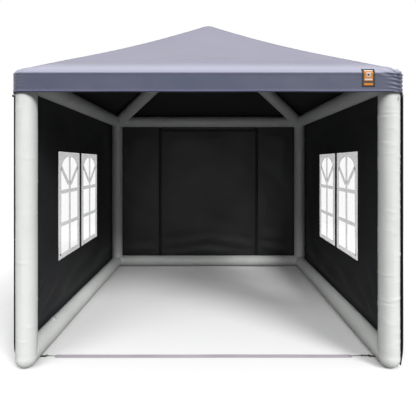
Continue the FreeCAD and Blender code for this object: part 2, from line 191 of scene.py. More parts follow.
def weave_group():
    """Plain weave over soft crinkles: a height in metres, and a slow change of tone."""
    sizes = {"Thread": 0.0012, "Thread depth": 0.00006, "Crinkle": 0.06, "Crinkle depth": 0.0008}
    sizes["Mottle"] = 0.4
    tree, given, out = new_group("woven_cloth", sizes, ("Height", "Tone"))
    axes = node(tree, "ShaderNodeSeparateXYZ", {0: given["Vector"]}).outputs
    turn = maths(tree, "DIVIDE", math.tau, given["Thread"])
    warp = maths(tree, "SINE", maths(tree, "MULTIPLY", axes[0], turn))
    weft = maths(tree, "SINE", maths(tree, "MULTIPLY", axes[1], turn))
    threads = maths(tree, "MULTIPLY", maths(tree, "MULTIPLY", warp, weft), given["Thread depth"])
    soft = noise(tree, given["Vector"], given["Crinkle"], 3.0, Distortion=0.6)
    crinkle = maths(tree, "MULTIPLY", soft, given["Crinkle depth"])
    mottle = noise(tree, given["Vector"], given["Mottle"], 4.0)
    tree.links.new(maths(tree, "ADD", threads, crinkle), out["Height"])
    tree.links.new(spread(tree, mottle, 0.3, 0.7), out["Tone"])
    return tree


def grain_group():
    """Fine grain of moulded plastic or worn metal: a height in metres, and a change of tone."""
    sizes = {"Grain": 0.0008, "Grain depth": 0.00003, "Mottle": 0.02}
    tree, given, out = new_group("fine_grain", sizes, ("Height", "Tone"))
    fine = noise(tree, given["Vector"], given["Grain"], 2.0)
    mottle = noise(tree, given["Vector"], given["Mottle"], 5.0)
    tree.links.new(maths(tree, "MULTIPLY", fine, given["Grain depth"]), out["Height"])
    tree.links.new(spread(tree, mottle, 0.35, 0.65), out["Tone"])
    return tree


def dust_group():
    """Light dust and handling marks, stronger near the ground."""
    tree, given, out = new_group("dust", {"Patch": 0.25, "Amount": 0.2}, ("Mask",))
    spots = noise(tree, given["Vector"], given["Patch"], 6.0, Roughness=0.7)
    height = node(tree, "ShaderNodeSeparateXYZ", {0: given["Vector"]}).outputs[2]
    marks = maths(tree, "MULTIPLY", spread(tree, spots, 0.5, 0.75), spread(tree, height, 0.5, 0.0, 0.3))
    tree.links.new(maths(tree, "MULTIPLY", marks, given["Amount"]), out["Mask"])
    return tree


WEAVE = weave_group()
GRAIN = grain_group()
DUST = dust_group()
DUST_COLOUR = (0.45, 0.42, 0.38, 1)
ROUGH_DRIFT = 0.05


def finish(name, dark, light, rough, group=WEAVE, values=None, dust=0.15, uv=True, **plain):
    """A material whose colour and roughness drift with a group's tone, with bump and dust over it."""
    material = bpy.data.materials.new(name)
    material.use_nodes = True
    tree = material.node_tree
    shader = tree.nodes["Principled BSDF"].inputs
    coordinates = node(tree, "ShaderNodeTexCoord").outputs
    where = coordinates["UV" if uv else "Object"]
    surface = node(tree, "ShaderNodeGroup", {"Vector": where} | (values or {}), node_tree=group).outputs
    dirt = node(tree, "ShaderNodeGroup", {"Vector": coordinates["Object"], "Amount": dust}, node_tree=DUST)
    colour = mix(tree, surface["Tone"], (*dark, 1), (*light, 1))
    dusty = mix(tree, dirt.outputs["Mask"], colour, DUST_COLOUR)
    gloss = spread(tree, surface["Tone"], 0.0, 1.0, rough - ROUGH_DRIFT, rough + ROUGH_DRIFT)
    bump = node(tree, "ShaderNodeBump", {"Height": surface["Height"], "Distance": 1.0}).outputs[0]
    for key, socket in (("Base Color", dusty), ("Roughness", gloss), ("Normal", bump)):
        tree.links.new(socket, shader[key])
    for key, value in plain.items():
        shader[key.replace("_", " ").title()].default_value = value
    return material


SLEEVE = finish(
    "white_tube_cloth",
    (0.74, 0.76, 0.74),
    (0.82, 0.84, 0.82),
    0.42,
    values={"Thread": 0.0015, "Crinkle": 0.035, "Crinkle depth": 0.0010, "Mottle": 0.5},
)
# Painted top light and sheen: the roof is the valance's fabric, given a much lighter base colour because it
# faces up to the light
ROOF = finish(
    "roof_cloth_with_painted_top_light",
    (0.205, 0.201, 0.280),
    (0.235, 0.230, 0.316),
    0.50,
    values={"Crinkle": 0.09, "Crinkle depth": 0.0012, "Mottle": 0.8},
    sheen_weight=0.6,
    sheen_roughness=0.34,
)
VALANCE = finish(
    "slate_valance_cloth",
    (0.064, 0.074, 0.122),
    (0.074, 0.085, 0.139),
    0.45,
    values={"Crinkle": 0.09, "Crinkle depth": 0.0010, "Mottle": 0.8},
    sheen_weight=0.25,
    sheen_roughness=0.35,
)
LINING = finish("black_roof_lining", (0.010, 0.010, 0.012), (0.016, 0.016, 0.018), 0.62, dust=0.02)
WALLS = finish(
    "black_wall_cloth",
    (0.0160, 0.0165, 0.0185),
    (0.0230, 0.0235, 0.0255),
    0.55,
    values={"Crinkle": 0.12, "Crinkle depth": 0.0022, "Mottle": 0.6},
    dust=0.02,
)
WEBBING = finish(
    "mauve_webbing",
    (0.46, 0.42, 0.47),
    (0.56, 0.51, 0.56),
    0.7,
    values={"Thread": 0.004, "Thread depth": 0.0005, "Crinkle": 0.02, "Crinkle depth": 0.0004},
)
DARK_WEBBING = finish(
    "dark_webbing",
    (0.020, 0.020, 0.022),
    (0.034, 0.034, 0.036),
    0.7,
    values={"Thread": 0.003, "Thread depth": 0.0004, "Crinkle": 0.02, "Crinkle depth": 0.0003},
    uv=False,
)
CORD = finish(
    "dark_cord",
    (0.020, 0.018, 0.018),
    (0.050, 0.045, 0.044),
    0.75,
    values={"Thread": 0.0014, "Thread depth": 0.0003, "Crinkle": 0.01, "Crinkle depth": 0.0002},
)
# Painted shade: the zip flaps are real, but their cloth is made much darker than the walls' to stand for the
# shadow in the zips' recess
FLAP_PAINTED_SHADE = finish("flap_cloth_painted_shade", (0.003, 0.003, 0.0035), (0.005, 0.005, 0.0055), 0.8, dust=0.0)
BAND = finish("slate_band_cloth", (0.045, 0.047, 0.060), (0.060, 0.063, 0.078), 0.6)
PIPING = finish("hem_tape", (0.085, 0.085, 0.165), (0.105, 0.105, 0.195), 0.5)
BLACK_LABEL = finish("label_black", (0.010, 0.009, 0.010), (0.018, 0.016, 0.016), 0.55)
ORANGE_LABEL = finish("label_orange", (0.60, 0.19, 0.002), (0.68, 0.225, 0.004), 0.5)
PALE_LABEL = finish("label_pale", (0.62, 0.62, 0.62), (0.72, 0.72, 0.73), 0.5)
FILM = finish("clear_window_film", (0.80, 0.82, 0.86), (0.86, 0.88, 0.90), 0.14, GRAIN, dust=0.1, alpha=0.03)
PRINT = finish("window_print", (0.58, 0.57, 0.62), (0.66, 0.65, 0.70), 0.4, GRAIN, dust=0.05, alpha=0.16)
WHITE_PRINT = finish("white_window_border", (0.80, 0.80, 0.82), (0.86, 0.86, 0.88), 0.4, GRAIN, alpha=0.10)

HARD = {"group": GRAIN, "uv": False}
THREAD = finish("grey_thread", (0.13, 0.13, 0.18), (0.17, 0.17, 0.23), 0.6, **HARD)
BLACK_THREAD = finish("black_thread", (0.022, 0.022, 0.025), (0.032, 0.032, 0.036), 0.6, **HARD)
BLADDER = finish("bladder_film", (0.42, 0.46, 0.50), (0.50, 0.54, 0.58), 0.25, **HARD)
NYLON = finish("black_zip_nylon", (0.012, 0.012, 0.013), (0.022, 0.022, 0.024), 0.42, dust=0.05, **HARD)
HOOK_PILE = HARD | {"values": {"Grain": 0.0016, "Grain depth": 0.0008}}
HOOKS = finish("hook_tape", (0.012, 0.012, 0.013), (0.030, 0.030, 0.032), 0.9, **HOOK_PILE)

METAL = HARD | {"values": {"Grain": 0.0006, "Grain depth": 0.00004, "Mottle": 0.012}}
GUNMETAL = finish("gunmetal", (0.10, 0.10, 0.105), (0.19, 0.19, 0.195), 0.34, metallic=0.9, **METAL)
BROWNED = finish("browned_steel", (0.045, 0.034, 0.028), (0.10, 0.078, 0.064), 0.42, metallic=0.75, **METAL)
STEEL = finish("spring_steel", (0.42, 0.42, 0.43), (0.60, 0.60, 0.61), 0.28, metallic=1.0, **METAL)
STEEL_DARK = finish("dark_ring_steel", (0.09, 0.09, 0.095), (0.17, 0.17, 0.175), 0.36, metallic=0.9, **METAL)

PLASTIC = HARD | {"values": {"Grain": 0.0009, "Grain depth": 0.00004, "Mottle": 0.015}}
PALE_PLASTIC = finish("pale_valve_plastic", (0.60, 0.61, 0.60), (0.68, 0.69, 0.68), 0.36, **PLASTIC)
CAP_PLASTIC = finish("grey_cap_plastic", (0.42, 0.43, 0.43), (0.50, 0.51, 0.51), 0.36, **PLASTIC)
DARK_PLASTIC = finish("dark_plastic", (0.016, 0.016, 0.017), (0.026, 0.026, 0.028), 0.38, **PLASTIC)

# Heights and colour of the painted highlight along the roof's brow
BROW_LOW_Z, BROW_HIGH_Z = 2.32, 2.42
BROW_HIGHLIGHT_LILAC = (0.42, 0.42, 0.54, 1)


def paint_brow_highlight(material):
    """Painted highlight: lightens the roof cloth along its brow just above the eave, by its height."""
    tree = material.node_tree
    colour = tree.nodes["Principled BSDF"].inputs["Base Color"]
    place = node(tree, "ShaderNodeTexCoord").outputs["Object"]
    height = node(tree, "ShaderNodeSeparateXYZ", {0: place}).outputs["Z"]
    share = spread(tree, height, BROW_HIGH_Z, BROW_LOW_Z, 0.0, 0.75, interpolation_type="SMOOTHSTEP")
    tree.links.new(mix(tree, share, colour.links[0].from_socket, BROW_HIGHLIGHT_LILAC), colour)


paint_brow_highlight(ROOF)


# Rows of stitches, zip teeth and other things that repeat along a line

ROW_SIZES = ("Pitch", "Length", "Width", "Height")
FINE_THREAD = (0.0009, 0.0006)


def build_row_tree():
    """Small blocks at an even pitch along lines, lying on the surface whose normal is stored on them."""
    tree = bpy.data.node_groups.new("blocks_along_a_line", "GeometryNodeTree")
    tree.interface.new_socket("Geometry", in_out="INPUT", socket_type="NodeSocketGeometry")
    for label in ROW_SIZES:
        tree.interface.new_socket(label, in_out="INPUT", socket_type="NodeSocketFloat")
    tree.interface.new_socket("Material", in_out="INPUT", socket_type="NodeSocketMaterial")
    tree.interface.new_socket("Geometry", in_out="OUTPUT", socket_type="NodeSocketGeometry")
    given = tree.nodes.new("NodeGroupInput").outputs

    def step(kind, inputs=None, **settings):
        return node(tree, kind, inputs, **settings).outputs[0]

    curve = step("GeometryNodeMeshToCurve", {"Mesh": given["Geometry"]})
    even = step("GeometryNodeResampleCurve", {"Curve": curve, "Length": given["Pitch"]}, mode="LENGTH")
    tangent = step("GeometryNodeInputTangent")
    outward = step("GeometryNodeInputNamedAttribute", {"Name": "outward"}, data_type="FLOAT_VECTOR")
    turn = "FunctionNodeAlignRotationToVector"
    along = step(turn, {"Vector": tangent}, axis="X")
    lying = step(turn, {"Rotation": along, "Vector": outward}, axis="Z", pivot_axis="X")
    size = step("ShaderNodeCombineXYZ", {0: given["Length"], 1: given["Width"], 2: given["Height"]})
    block = step("GeometryNodeMeshCube", {"Size": size})
    blocks = step("GeometryNodeInstanceOnPoints", {"Points": even, "Instance": block, "Rotation": lying})
    real = step("GeometryNodeRealizeInstances", {0: blocks})
    coloured = step("GeometryNodeSetMaterial", {"Geometry": real, "Material": given["Material"]})
    tree.links.new(coloured, tree.nodes.new("NodeGroupOutput").inputs[0])
    return tree


ROW_TREE = build_row_tree()


def blocks_along(name, lines, pitch, size, material, body, replaced=()):
    """Blocks of one size along lines, each its points and the surface's normals, as one plain mesh."""
    points = np.concatenate([line for line, _ in lines])
    normals = np.concatenate([normal for _, normal in lines])
    edges, first = [], 0
    for line, _ in lines:
        edges += [(first + i, first + i + 1) for i in range(len(line) - 1)]
        first += len(line)
    mesh = bpy.data.meshes.new(name)
    mesh.from_pydata(points.tolist(), edges, [])
    stored = mesh.attributes.new("outward", "FLOAT_VECTOR", "POINT")
    stored.data.foreach_set("vector", normals.astype(np.float32).ravel())
    path = bpy.data.objects.new(name + "_path", mesh)
    bpy.context.scene.collection.objects.link(path)
    rows = path.modifiers.new("blocks", "NODES")
    rows.node_group = ROW_TREE
    sockets = {item.name: item.identifier for item in ROW_TREE.interface.items_tree if item.in_out == "INPUT"}
    for label, value in zip((*ROW_SIZES, "Material"), (pitch, *size, material)):
        rows[sockets[label]] = value
    path.update_tag()
    shown = path.evaluated_get(bpy.context.evaluated_depsgraph_get())
    plain = bpy.data.meshes.new_from_object(shown)
    bpy.data.objects.remove(path)
    plain.name = name
    piece = bpy.data.objects.new(name, plain)
    bpy.context.scene.collection.objects.link(piece)
    return register(piece, body, replaced)


def stitches(name, lines, pitch, length, body, thread=BLACK_THREAD, thick=(0.0012, 0.0008)):
    """Stitches of a length along lines, each with the thread's width and height."""
    return blocks_along(name, lines, pitch, (length, *thick), thread, body)


def line_on(points, normals, lift):
    """A line of points raised off the cloth, with its normals."""
    return points + normals * lift, normals


# Roof canopy


def outline():
    """Half of the roof's outline, from peak to hem: distance from the middle, height and outward tilt."""
    crown, eave = np.array(CROWN), np.array(EAVE)
    chord = eave - crown
    span = np.linalg.norm(chord)
    pitch = math.atan2(-chord[1], chord[0])
    bend = 2 * math.atan(2 * PANEL_SAG / span)
    steep, gentle = pitch + bend, pitch - bend
    crown_r = CROWN[0] / math.sin(steep)
    tilt = np.linspace(0.04, steep, 8)[:-1]
    rows = [np.stack([crown_r * np.sin(tilt), CROWN[1] - crown_r * (math.cos(steep) - np.cos(tilt)), tilt], 1)]
    panel_r = span / (2 * math.sin(bend))
    tilt = steep - 2 * bend * (1 - (1 - np.linspace(0, 1, 64)) ** 1.35)
    middle = crown + panel_r * np.array([math.sin(steep), math.cos(steep)])
    rows.append(np.stack([middle[0] - panel_r * np.sin(tilt), middle[1] - panel_r * np.cos(tilt), tilt], 1))
    roll = eave - ROLL_R * np.array([math.sin(gentle), math.cos(gentle)])
    seam = math.acos((SEAM_Z - roll[1]) / ROLL_R)
    tilt = np.concatenate([np.linspace(gentle, seam, 10)[1:], np.linspace(seam, math.pi / 2, 3)[1:]])
    rows.append(np.stack([roll[0] + ROLL_R * np.sin(tilt), roll[1] + ROLL_R * np.cos(tilt), tilt], 1))
    drop = np.linspace(roll[1], HEM_Z, 44)[1:]
    rows.append(np.stack([np.full(43, roll[0] + ROLL_R), drop, np.full(43, math.pi / 2)], 1))
    return np.concatenate(rows)


SIDE_COLUMNS = 100
ARC_COLUMNS = 14
FRONT_CORNER_R = 0.086
BACK_CORNER_R = 0.026
RING = SIDE_COLUMNS + ARC_COLUMNS
CORNER_GATHERS = (
    ((1, -1), 0.0072, 0.4),
    ((-1, -1), 0.0012, 2.1),
    ((1, 1), 0.0045, 3.7),
    ((-1, 1), 0.0036, 5.2),
)


def ring(row):
    """One row of the canopy: a square with rounded corners, from the front left corner round by the right."""
    reach, height, tilt = row
    radii = [
        min(reach * 0.98, np.interp(reach, [0, 0.05, 0.35, 1.20, 1.45], [0, 0.05, 0.030, 0.030, eave_r]))
        for eave_r in (FRONT_CORNER_R, BACK_CORNER_R, BACK_CORNER_R, FRONT_CORNER_R)
    ]
    u = np.linspace(-1, 1, SIDE_COLUMNS)
    share = 0.72 * np.sin(u * math.pi / 2) + 0.28 * u
    turns = np.linspace(0, math.pi / 2, ARC_COLUMNS + 2)[1:-1]
    heading = np.concatenate([np.zeros(SIDE_COLUMNS), turns])
    places, headings = [], []
    for quarter, corner_r in enumerate(radii):
        start, end = radii[quarter - 1] - reach, reach - corner_r
        along = (start + end) / 2 + (end - start) / 2 * share
        side = np.stack([along, np.full(SIDE_COLUMNS, -reach)], 1)
        arc = np.stack([end + corner_r * np.sin(turns), -end - corner_r * np.cos(turns)], 1)
        turn = quarter * math.pi / 2
        spin = np.array([[math.cos(turn), math.sin(turn)], [-math.sin(turn), math.cos(turn)]])
        places.append(np.concatenate([side, arc]) @ spin)
        headings.append(heading + turn)
    places, headings = np.concatenate(places), np.concatenate(headings)
    points = np.column_stack([places, np.full(len(places), height)])
    out = np.stack([np.sin(headings), -np.cos(headings)], 1) * math.sin(tilt)
    return points, np.column_stack([out, np.full(len(places), math.cos(tilt))])


def hump(value, middle, width):
    return np.exp(-(((value - middle) / width) ** 2))


def gathered_corner(points, up, corner, depth, seed):
    """Creases out of a corner, as a height: level crinkles at its edge, and long folds over the eave."""
    from_x = 1.5 - points[..., 0] * corner[0]
    from_y = 1.5 - points[..., 1] * corner[1]
    near = np.abs(from_x) + np.abs(from_y)
    side = np.sign(from_x - from_y)
    level = np.sin(up * 232 + 2.0 * np.sin(near * 19 + side + seed) + 1.2 * np.sin(up * 41 + seed))
    level = np.sign(level) * np.abs(level) ** 0.7
    level = level * np.exp(-((near / 0.088) ** 2)) * (1 - smooth_step((up - 0.24) / 0.06))
    angle = np.arctan2(up - 0.05, near + 0.06)
    fan = np.sin(angle * 30 + seed + 1.2 * np.sin(near * 13 + side * 2 + seed))
    fan *= smooth_step((up - 0.10) / 0.07) * np.exp(-near / 0.17) * (1 - np.exp(-near / 0.03))
    return depth * (0.75 * level + 1.25 * fan)


def canopy_grid():
    """Points and normals of the whole canopy, its rows' distance above the hem, and its outline."""
    rows = outline()
    made = [ring(row) for row in rows]
    points = np.stack([m[0] for m in made])
    normals = np.stack([m[1] for m in made])
    down = lengths(rows[:, :2])
    up_row = down[-1] - down
    up = np.broadcast_to(up_row[:, None], points.shape[:2])
    x, y = points[..., 0], points[..., 1]
    reach = np.maximum(np.abs(x), np.abs(y))
    across = np.minimum(np.abs(x), np.abs(y))
    from_hip = reach - across
    lift = np.zeros(points.shape[:2])
    for corner, depth, seed in CORNER_GATHERS:
        lift += gathered_corner(points, up, corner, depth, seed)
    # the roof's panels: slow waves, a hollow along the middle, and a rippled hip seam
    on_roof = smooth_step((up - 0.22) / 0.20)
    off_crown = smooth_step((reach - 0.10) / 0.25)
    panel = on_roof * off_crown * smooth_step(from_hip / 0.35)
    lift += panel * 0.0035 * np.sin(x * 4.3 + 1.0) * np.sin(y * 3.7 + up * 2.0)
    lift += panel * 0.0022 * np.sin(x * 9.1 - y * 4.7 + 2.0 * np.sin(up * 5.0))
    lift -= panel * 0.006 * np.sin(np.pi * np.clip(across / np.maximum(reach, 0.01), 0, 1))
    hip_ripple = np.sin(reach * 2 * np.pi / 0.052 + 1.4 * np.sin(reach * 11))
    lift += off_crown * on_roof * 0.0010 * hip_ripple * np.exp(-from_hip / 0.030)
    lift += off_crown * on_roof * 0.0016 * np.exp(-((from_hip / 0.010) ** 2))
    # the front: a swelling along the brow, and one crease under it on the left
    front = (y < 0) & (np.abs(y) >= np.abs(x))
    brow = smooth_step((x + 1.45) / 1.2) * 0.010 * hump(up, 0.36 + 0.05 * (x + 1.5), 0.09) * front
    lift += brow * smooth_step(from_hip / 0.3)
    crease = hump(up, 0.245 + 0.02 * (x + 1.5), 0.011)
    crease = crease * smooth_step((x + 1.47) / 0.06) * smooth_step((-0.95 - x) / 0.35)
    lift -= 0.0055 * crease * front
    # the seam, the turned hem and the valance's loose lower edge
    seam_up = up_row[np.argmin(np.abs(rows[:, 1] - SEAM_Z))]
    lift += 0.0010 * hump(up, seam_up, 0.008)
    lift += 0.0010 * (1 - smooth_step((up - 0.019) / 0.004))
    loose = smooth_step(1 - up / 0.14)
    way = np.arctan2(y, x)
    wave = 0.0015 + 0.0030 * np.sin(way * 9 + 0.6) + 0.0012 * np.sin(way * 31)
    lift += loose * smooth_step(from_hip / 0.25) * wave
    # the front corners draw in on the legs, and the sides stay clear of the walls behind them
    at_front = smooth_step((-1.30 - y) / 0.10)
    lift -= 0.0035 * at_front * np.exp(-((from_hip / 0.05) ** 2)) * (1 - smooth_step((up - 0.20) / 0.1))
    over_wall = smooth_step((y + 1.46) / 0.03)
    lift = np.where(up < 0.19, np.maximum(lift, -0.0085 + 0.0060 * over_wall), lift)
    return points + normals * lift[..., None], normals, up_row, rows


CANOPY, CANOPY_OUT, CANOPY_UP, CANOPY_ROWS = canopy_grid()
SEAM_ROW = int(np.argmin(np.abs(CANOPY_ROWS[:, 1] - SEAM_Z)))


def canopy_uv(corner_r, corner_c):
    """Cloth coordinates: round the canopy at the eave, and up from the hem."""
    eave = CANOPY[-1]
    around = lengths(np.concatenate([eave, eave[:1]]))
    share = CANOPY_ROWS[corner_r, 0] / CANOPY_ROWS[-1, 0]
    side = (corner_c // RING) * around[-1] / 4 + around[-1] / 8
    u = side + (around[corner_c] - side) * share
    return np.stack([u, CANOPY_UP[corner_r]], -1).reshape(-1, 2)


def canopy_part(name, first, last, replaced):
    points = CANOPY[first : last + 1]
    faces, corner_r, corner_c = grid_faces(len(points), 4 * RING, wrap=True, flip=True)
    uv = canopy_uv(corner_r + first, corner_c)
    faces = [list(f) for f in faces]
    points = points.reshape(-1, 3)
    if first == 0:
        peak = len(points)
        points = np.vstack([points, [[0, 0, CANOPY[0, :, 2].max() + 0.0002]]])
        for c in range(4 * RING):
            faces.append([peak, c, (c + 1) % (4 * RING)])
            uv = np.vstack([uv, [[c * 0.02, 1.9], [c * 0.02, 1.88], [c * 0.02 + 0.02, 1.88]]])
    cloth = ROOF if first == 0 else VALANCE
    piece = make_piece(name, points, faces, [cloth, LINING], "canopy", uv=uv, node=replaced)
    return thicken(piece, 0.0014, lining=1)


def outward(piece):
    """True if a piece's faces mostly point away from its middle."""
    mesh = piece.data
    count = len(mesh.polygons)
    centres, normals = np.zeros(count * 3), np.zeros(count * 3)
    mesh.polygons.foreach_get("center", centres)
    mesh.polygons.foreach_get("normal", normals)
    centres, normals = centres.reshape(-1, 3), normals.reshape(-1, 3)
    return ((centres - centres.mean(0)) * normals).sum() > 0


def turn_out(piece):
    """Turns a piece's faces over if they point inwards."""
    if not outward(piece):
        piece.data.flip_normals()
    return piece


def canopy_line(row, lift):
    """A line round the whole canopy, a share of the way between two rows."""
    low = int(row)
    share = row - low
    high = min(low + 1, len(CANOPY) - 1)
    points = CANOPY[low] * (1 - share) + CANOPY[high] * share
    normals = CANOPY_OUT[low]
    return line_on(np.vstack([points, points[:1]]), np.vstack([normals, normals[:1]]), lift)


def hip_lines(lift):
    """Two lines of sewing beside each hip, from the crown to the seam."""
    lines = []
    for quarter in range(4):
        for column in (quarter * RING + 1, quarter * RING + SIDE_COLUMNS - 2):
            points, normals = CANOPY[8 : SEAM_ROW - 2, column], CANOPY_OUT[8 : SEAM_ROW - 2, column]
            lines.append(line_on(points, normals, lift))
    return lines


def row_at(up):
    """The row, with its fraction, that is a distance above the hem."""
    return float(np.interp(-up, -CANOPY_UP, np.arange(len(CANOPY_UP))))


def front_cloth(x, up, lift):
    """Points and normals on the canopy's front at each x, in columns, and height above the hem, in rows."""
    per_row = np.zeros((len(CANOPY), len(x), 6))
    for r in range(len(CANOPY)):
        line = CANOPY[r, :SIDE_COLUMNS]
        for k in range(3):
            per_row[r, :, k] = np.interp(x, line[:, 0], line[:, k])
            per_row[r, :, 3 + k] = CANOPY_OUT[r, SIDE_COLUMNS // 2, k]
    found = np.zeros((len(up), len(x), 6))
    order = np.argsort(CANOPY_UP)
    for c in range(len(x)):
        for k in range(6):
            found[:, c, k] = np.interp(up, CANOPY_UP[order], per_row[order, c, k])
    return found[..., :3] + unit(found[..., 3:]) * lift, unit(found[..., 3:])


def build_canopy():
    last = len(CANOPY) - 1
    roof = canopy_part("roof_canopy", 0, SEAM_ROW, [f"roof_panel_{side}" for side in SIDES])
    strips = [f"valance_{side}" for side in SIDES]
    valance = canopy_part("valance_band", SEAM_ROW, last, strips)
    on_top = 0.0006
    sewing = [canopy_line(SEAM_ROW - 1.0, on_top), canopy_line(SEAM_ROW + 1.2, on_top)] + hip_lines(on_top)
    stitches("roof_seam_stitches", sewing, 0.011, 0.007, "canopy", THREAD)
    hem = [canopy_line(row_at(0.022), on_top)]
    stitches("valance_hem_stitches", hem, 0.009, 0.006, "canopy", THREAD)
    points, normals = canopy_line(row_at(0.011), 0.0)
    upper, lower = points + normals * 0.0012 + UP * 0.0065, points + normals * 0.0012 - UP * 0.0085
    tape = np.stack([upper, points + normals * 0.0016, lower])[:, :-1]
    faces, corner_r, corner_c = grid_faces(3, len(points) - 1, wrap=True, flip=True)
    uv = grid_uv(corner_r, corner_c, lengths(points), np.array([0.016, 0.008, 0.0]))
    hem_tape = make_piece("valance_hem_tape", tape, faces, PIPING, "canopy", uv=uv)
    thicken(hem_tape, 0.0010)


def cloth_patch(name, x, up, lift, material, steps=(14, 22)):
    """A patch that lies on the front of the canopy between limits in x and above the hem."""
    xs, ups = np.linspace(*x, steps[0]), np.linspace(*up, steps[1])
    points, _ = front_cloth(xs, ups, lift)
    faces, corner_r, corner_c = grid_faces(steps[1], steps[0])
    uv = grid_uv(corner_r, corner_c, xs, ups)
    return thicken(make_piece(name, points, faces, material, "canopy", uv=uv), 0.0008)


def build_label():
    """A plain sewn patch of coloured blocks, with nothing written or drawn on it."""
    (x0, _, z0), (x1, _, z1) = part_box("label_patch")
    up0 = z0 - HEM_Z
    up1 = float(np.interp(-z1, -CANOPY_ROWS[:, 1], CANOPY_UP)) + 0.012
    patch = cloth_patch("label_backing", (x0, x1), (up0, up1), 0.0011, BLACK_LABEL)
    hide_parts("label_patch")
    blocks = (
        ("label_orange_field", (0.16, 0.84), (0.29, 0.90), 0.0015, ORANGE_LABEL),
        ("label_top_bar", (0.16, 0.84), (0.84, 0.90), 0.0019, PALE_LABEL),
        ("label_middle_bar", (0.20, 0.80), (0.34, 0.42), 0.0019, PALE_LABEL),
        ("label_square", (0.34, 0.66), (0.52, 0.74), 0.0019, PALE_LABEL),
        ("label_square_centre", (0.42, 0.58), (0.58, 0.68), 0.0023, BLACK_LABEL),
        ("label_low_bar", (0.16, 0.84), (0.08, 0.20), 0.0015, ORANGE_LABEL),
    )
    for name, across, rise, lift, material in blocks:
        x = [x0 + share * (x1 - x0) for share in across]
        up = [up0 + share * (up1 - up0) for share in rise]
        cloth_patch(name, x, up, lift, material, steps=(10, 12))
    edge = 0.003
    left, right, low, high = x0 + edge, x1 - edge, up0 + edge, up1 - edge
    corners = [(left, low), (right, low), (right, high), (left, high)]
    lines = []
    for (xa, ua), (xb, ub) in zip(corners, corners[1:] + corners[:1]):
        found = [
            front_cloth(np.array([xa + (xb - xa) * t]), np.array([ua + (ub - ua) * t]), 0.0016)
            for t in np.linspace(0, 1, 20)
        ]
        lines.append((np.array([p[0, 0] for p, _ in found]), np.array([n[0, 0] for _, n in found])))
    stitches("label_stitches", lines, 0.0045, 0.003, "canopy", thick=FINE_THREAD)


# Air tubes


def tube_creases(along, angle, count, seed, depth=0.0024):
    """Short creases across a tube, as a height over a grid of distances along it and angles round it."""
    draw = np.random.default_rng(seed)
    height = np.zeros(np.broadcast(along, angle).shape)
    low, high = along.min() + 0.03, along.max() - 0.03
    for _ in range(count):
        at = draw.uniform(low, high)
        middle = draw.uniform(0, math.tau)
        half = draw.uniform(0.35, 1.1)
        slope = draw.uniform(-0.012, 0.012)
        width = draw.uniform(0.005, 0.011)
        size = depth * draw.uniform(0.35, 1.0)
        turn = (angle - middle + math.pi) % math.tau - math.pi
        where = at + slope * turn
        band = np.exp(-((turn / half) ** 2))
        height += size * band * (hump(along, where + width, width) - 0.15 * hump(along, where, width * 0.8))
    return height


def puckers(along, angle, count, reach, depth, phase=0.0):
    """Small gathers beside a weld at a tube's two ends."""
    start, end = along - along.min(), along.max() - along
    near = np.exp(-start / reach) + np.exp(-end / reach)
    return depth * near * np.cos(angle * count + phase + 0.8 * np.sin(angle * 3))


def frame_of(direction):
    """Two directions square to an axis: one as upright as can be, and one level."""
    side = np.cross(direction, UP) if abs(direction[2]) < 0.95 else np.array([1.0, 0.0, 0.0])
    side = unit(side)
    return unit(np.cross(side, direction)), side


def tube_piece(name, start, direction, along, radius, angles=56, cuts=None, seed=1, creases=30, floor=None):
    """A closed tube of cloth: a ring of points at each distance, with creases, gathers and a welded seam."""
    up, side = frame_of(direction)
    angle = np.linspace(0, math.tau, angles, endpoint=False)
    grid_along, grid_angle = np.meshgrid(along, angle, indexing="ij")
    swell = tube_creases(grid_along, grid_angle, creases, seed)
    swell += puckers(grid_along, grid_angle, 13, 0.035, 0.0011, seed)
    swell += 0.0005 * np.sin(grid_along * 7 + grid_angle * 2 + seed)
    seam = (grid_angle - 2.5 + math.pi) % math.tau - math.pi
    swell += 0.0007 * smooth_step((0.075 - np.abs(seam)) / 0.02)
    distance = grid_along
    if cuts is not None:
        first, last = cuts(angle)
        share = (grid_along - along[0]) / (along[-1] - along[0])
        distance = first[None, :] * (1 - share) + last[None, :] * share
        weld = np.minimum(distance - first[None, :], last[None, :] - distance)
        swell += 0.0010 * smooth_step((0.016 - weld) / 0.004)
    width = (radius[:, None] if np.ndim(radius) else radius) + swell
    points = (
        np.asarray(start)
        + direction * distance[..., None]
        + up * (width * np.cos(grid_angle))[..., None]
        + side * (width * np.sin(grid_angle))[..., None]
    )
    if floor is not None:
        points[..., 2] = np.maximum(points[..., 2], floor)
    faces, corner_r, corner_c = grid_faces(len(along), angles, wrap=True)
    uv = grid_uv(corner_r, corner_c, np.linspace(0, math.tau * TUBE_R, angles + 1), np.asarray(along))
    faces = [list(f) for f in faces]
    flat = np.vstack([points.reshape(-1, 3), points[0].mean(0), points[-1].mean(0)])
    start_point, end_point = len(flat) - 2, len(flat) - 1
    last_row = (len(along) - 1) * angles
    for c in range(angles):
        n = (c + 1) % angles
        faces += [[start_point, n, c], [end_point, last_row + c, last_row + n]]
    uv = np.vstack([uv, np.zeros((6 * angles, 2))])
    node_name = name.replace("_sleeve", "")
    return turn_out(make_piece(name, flat, faces, SLEEVE, "frame", uv=uv, node=node_name))


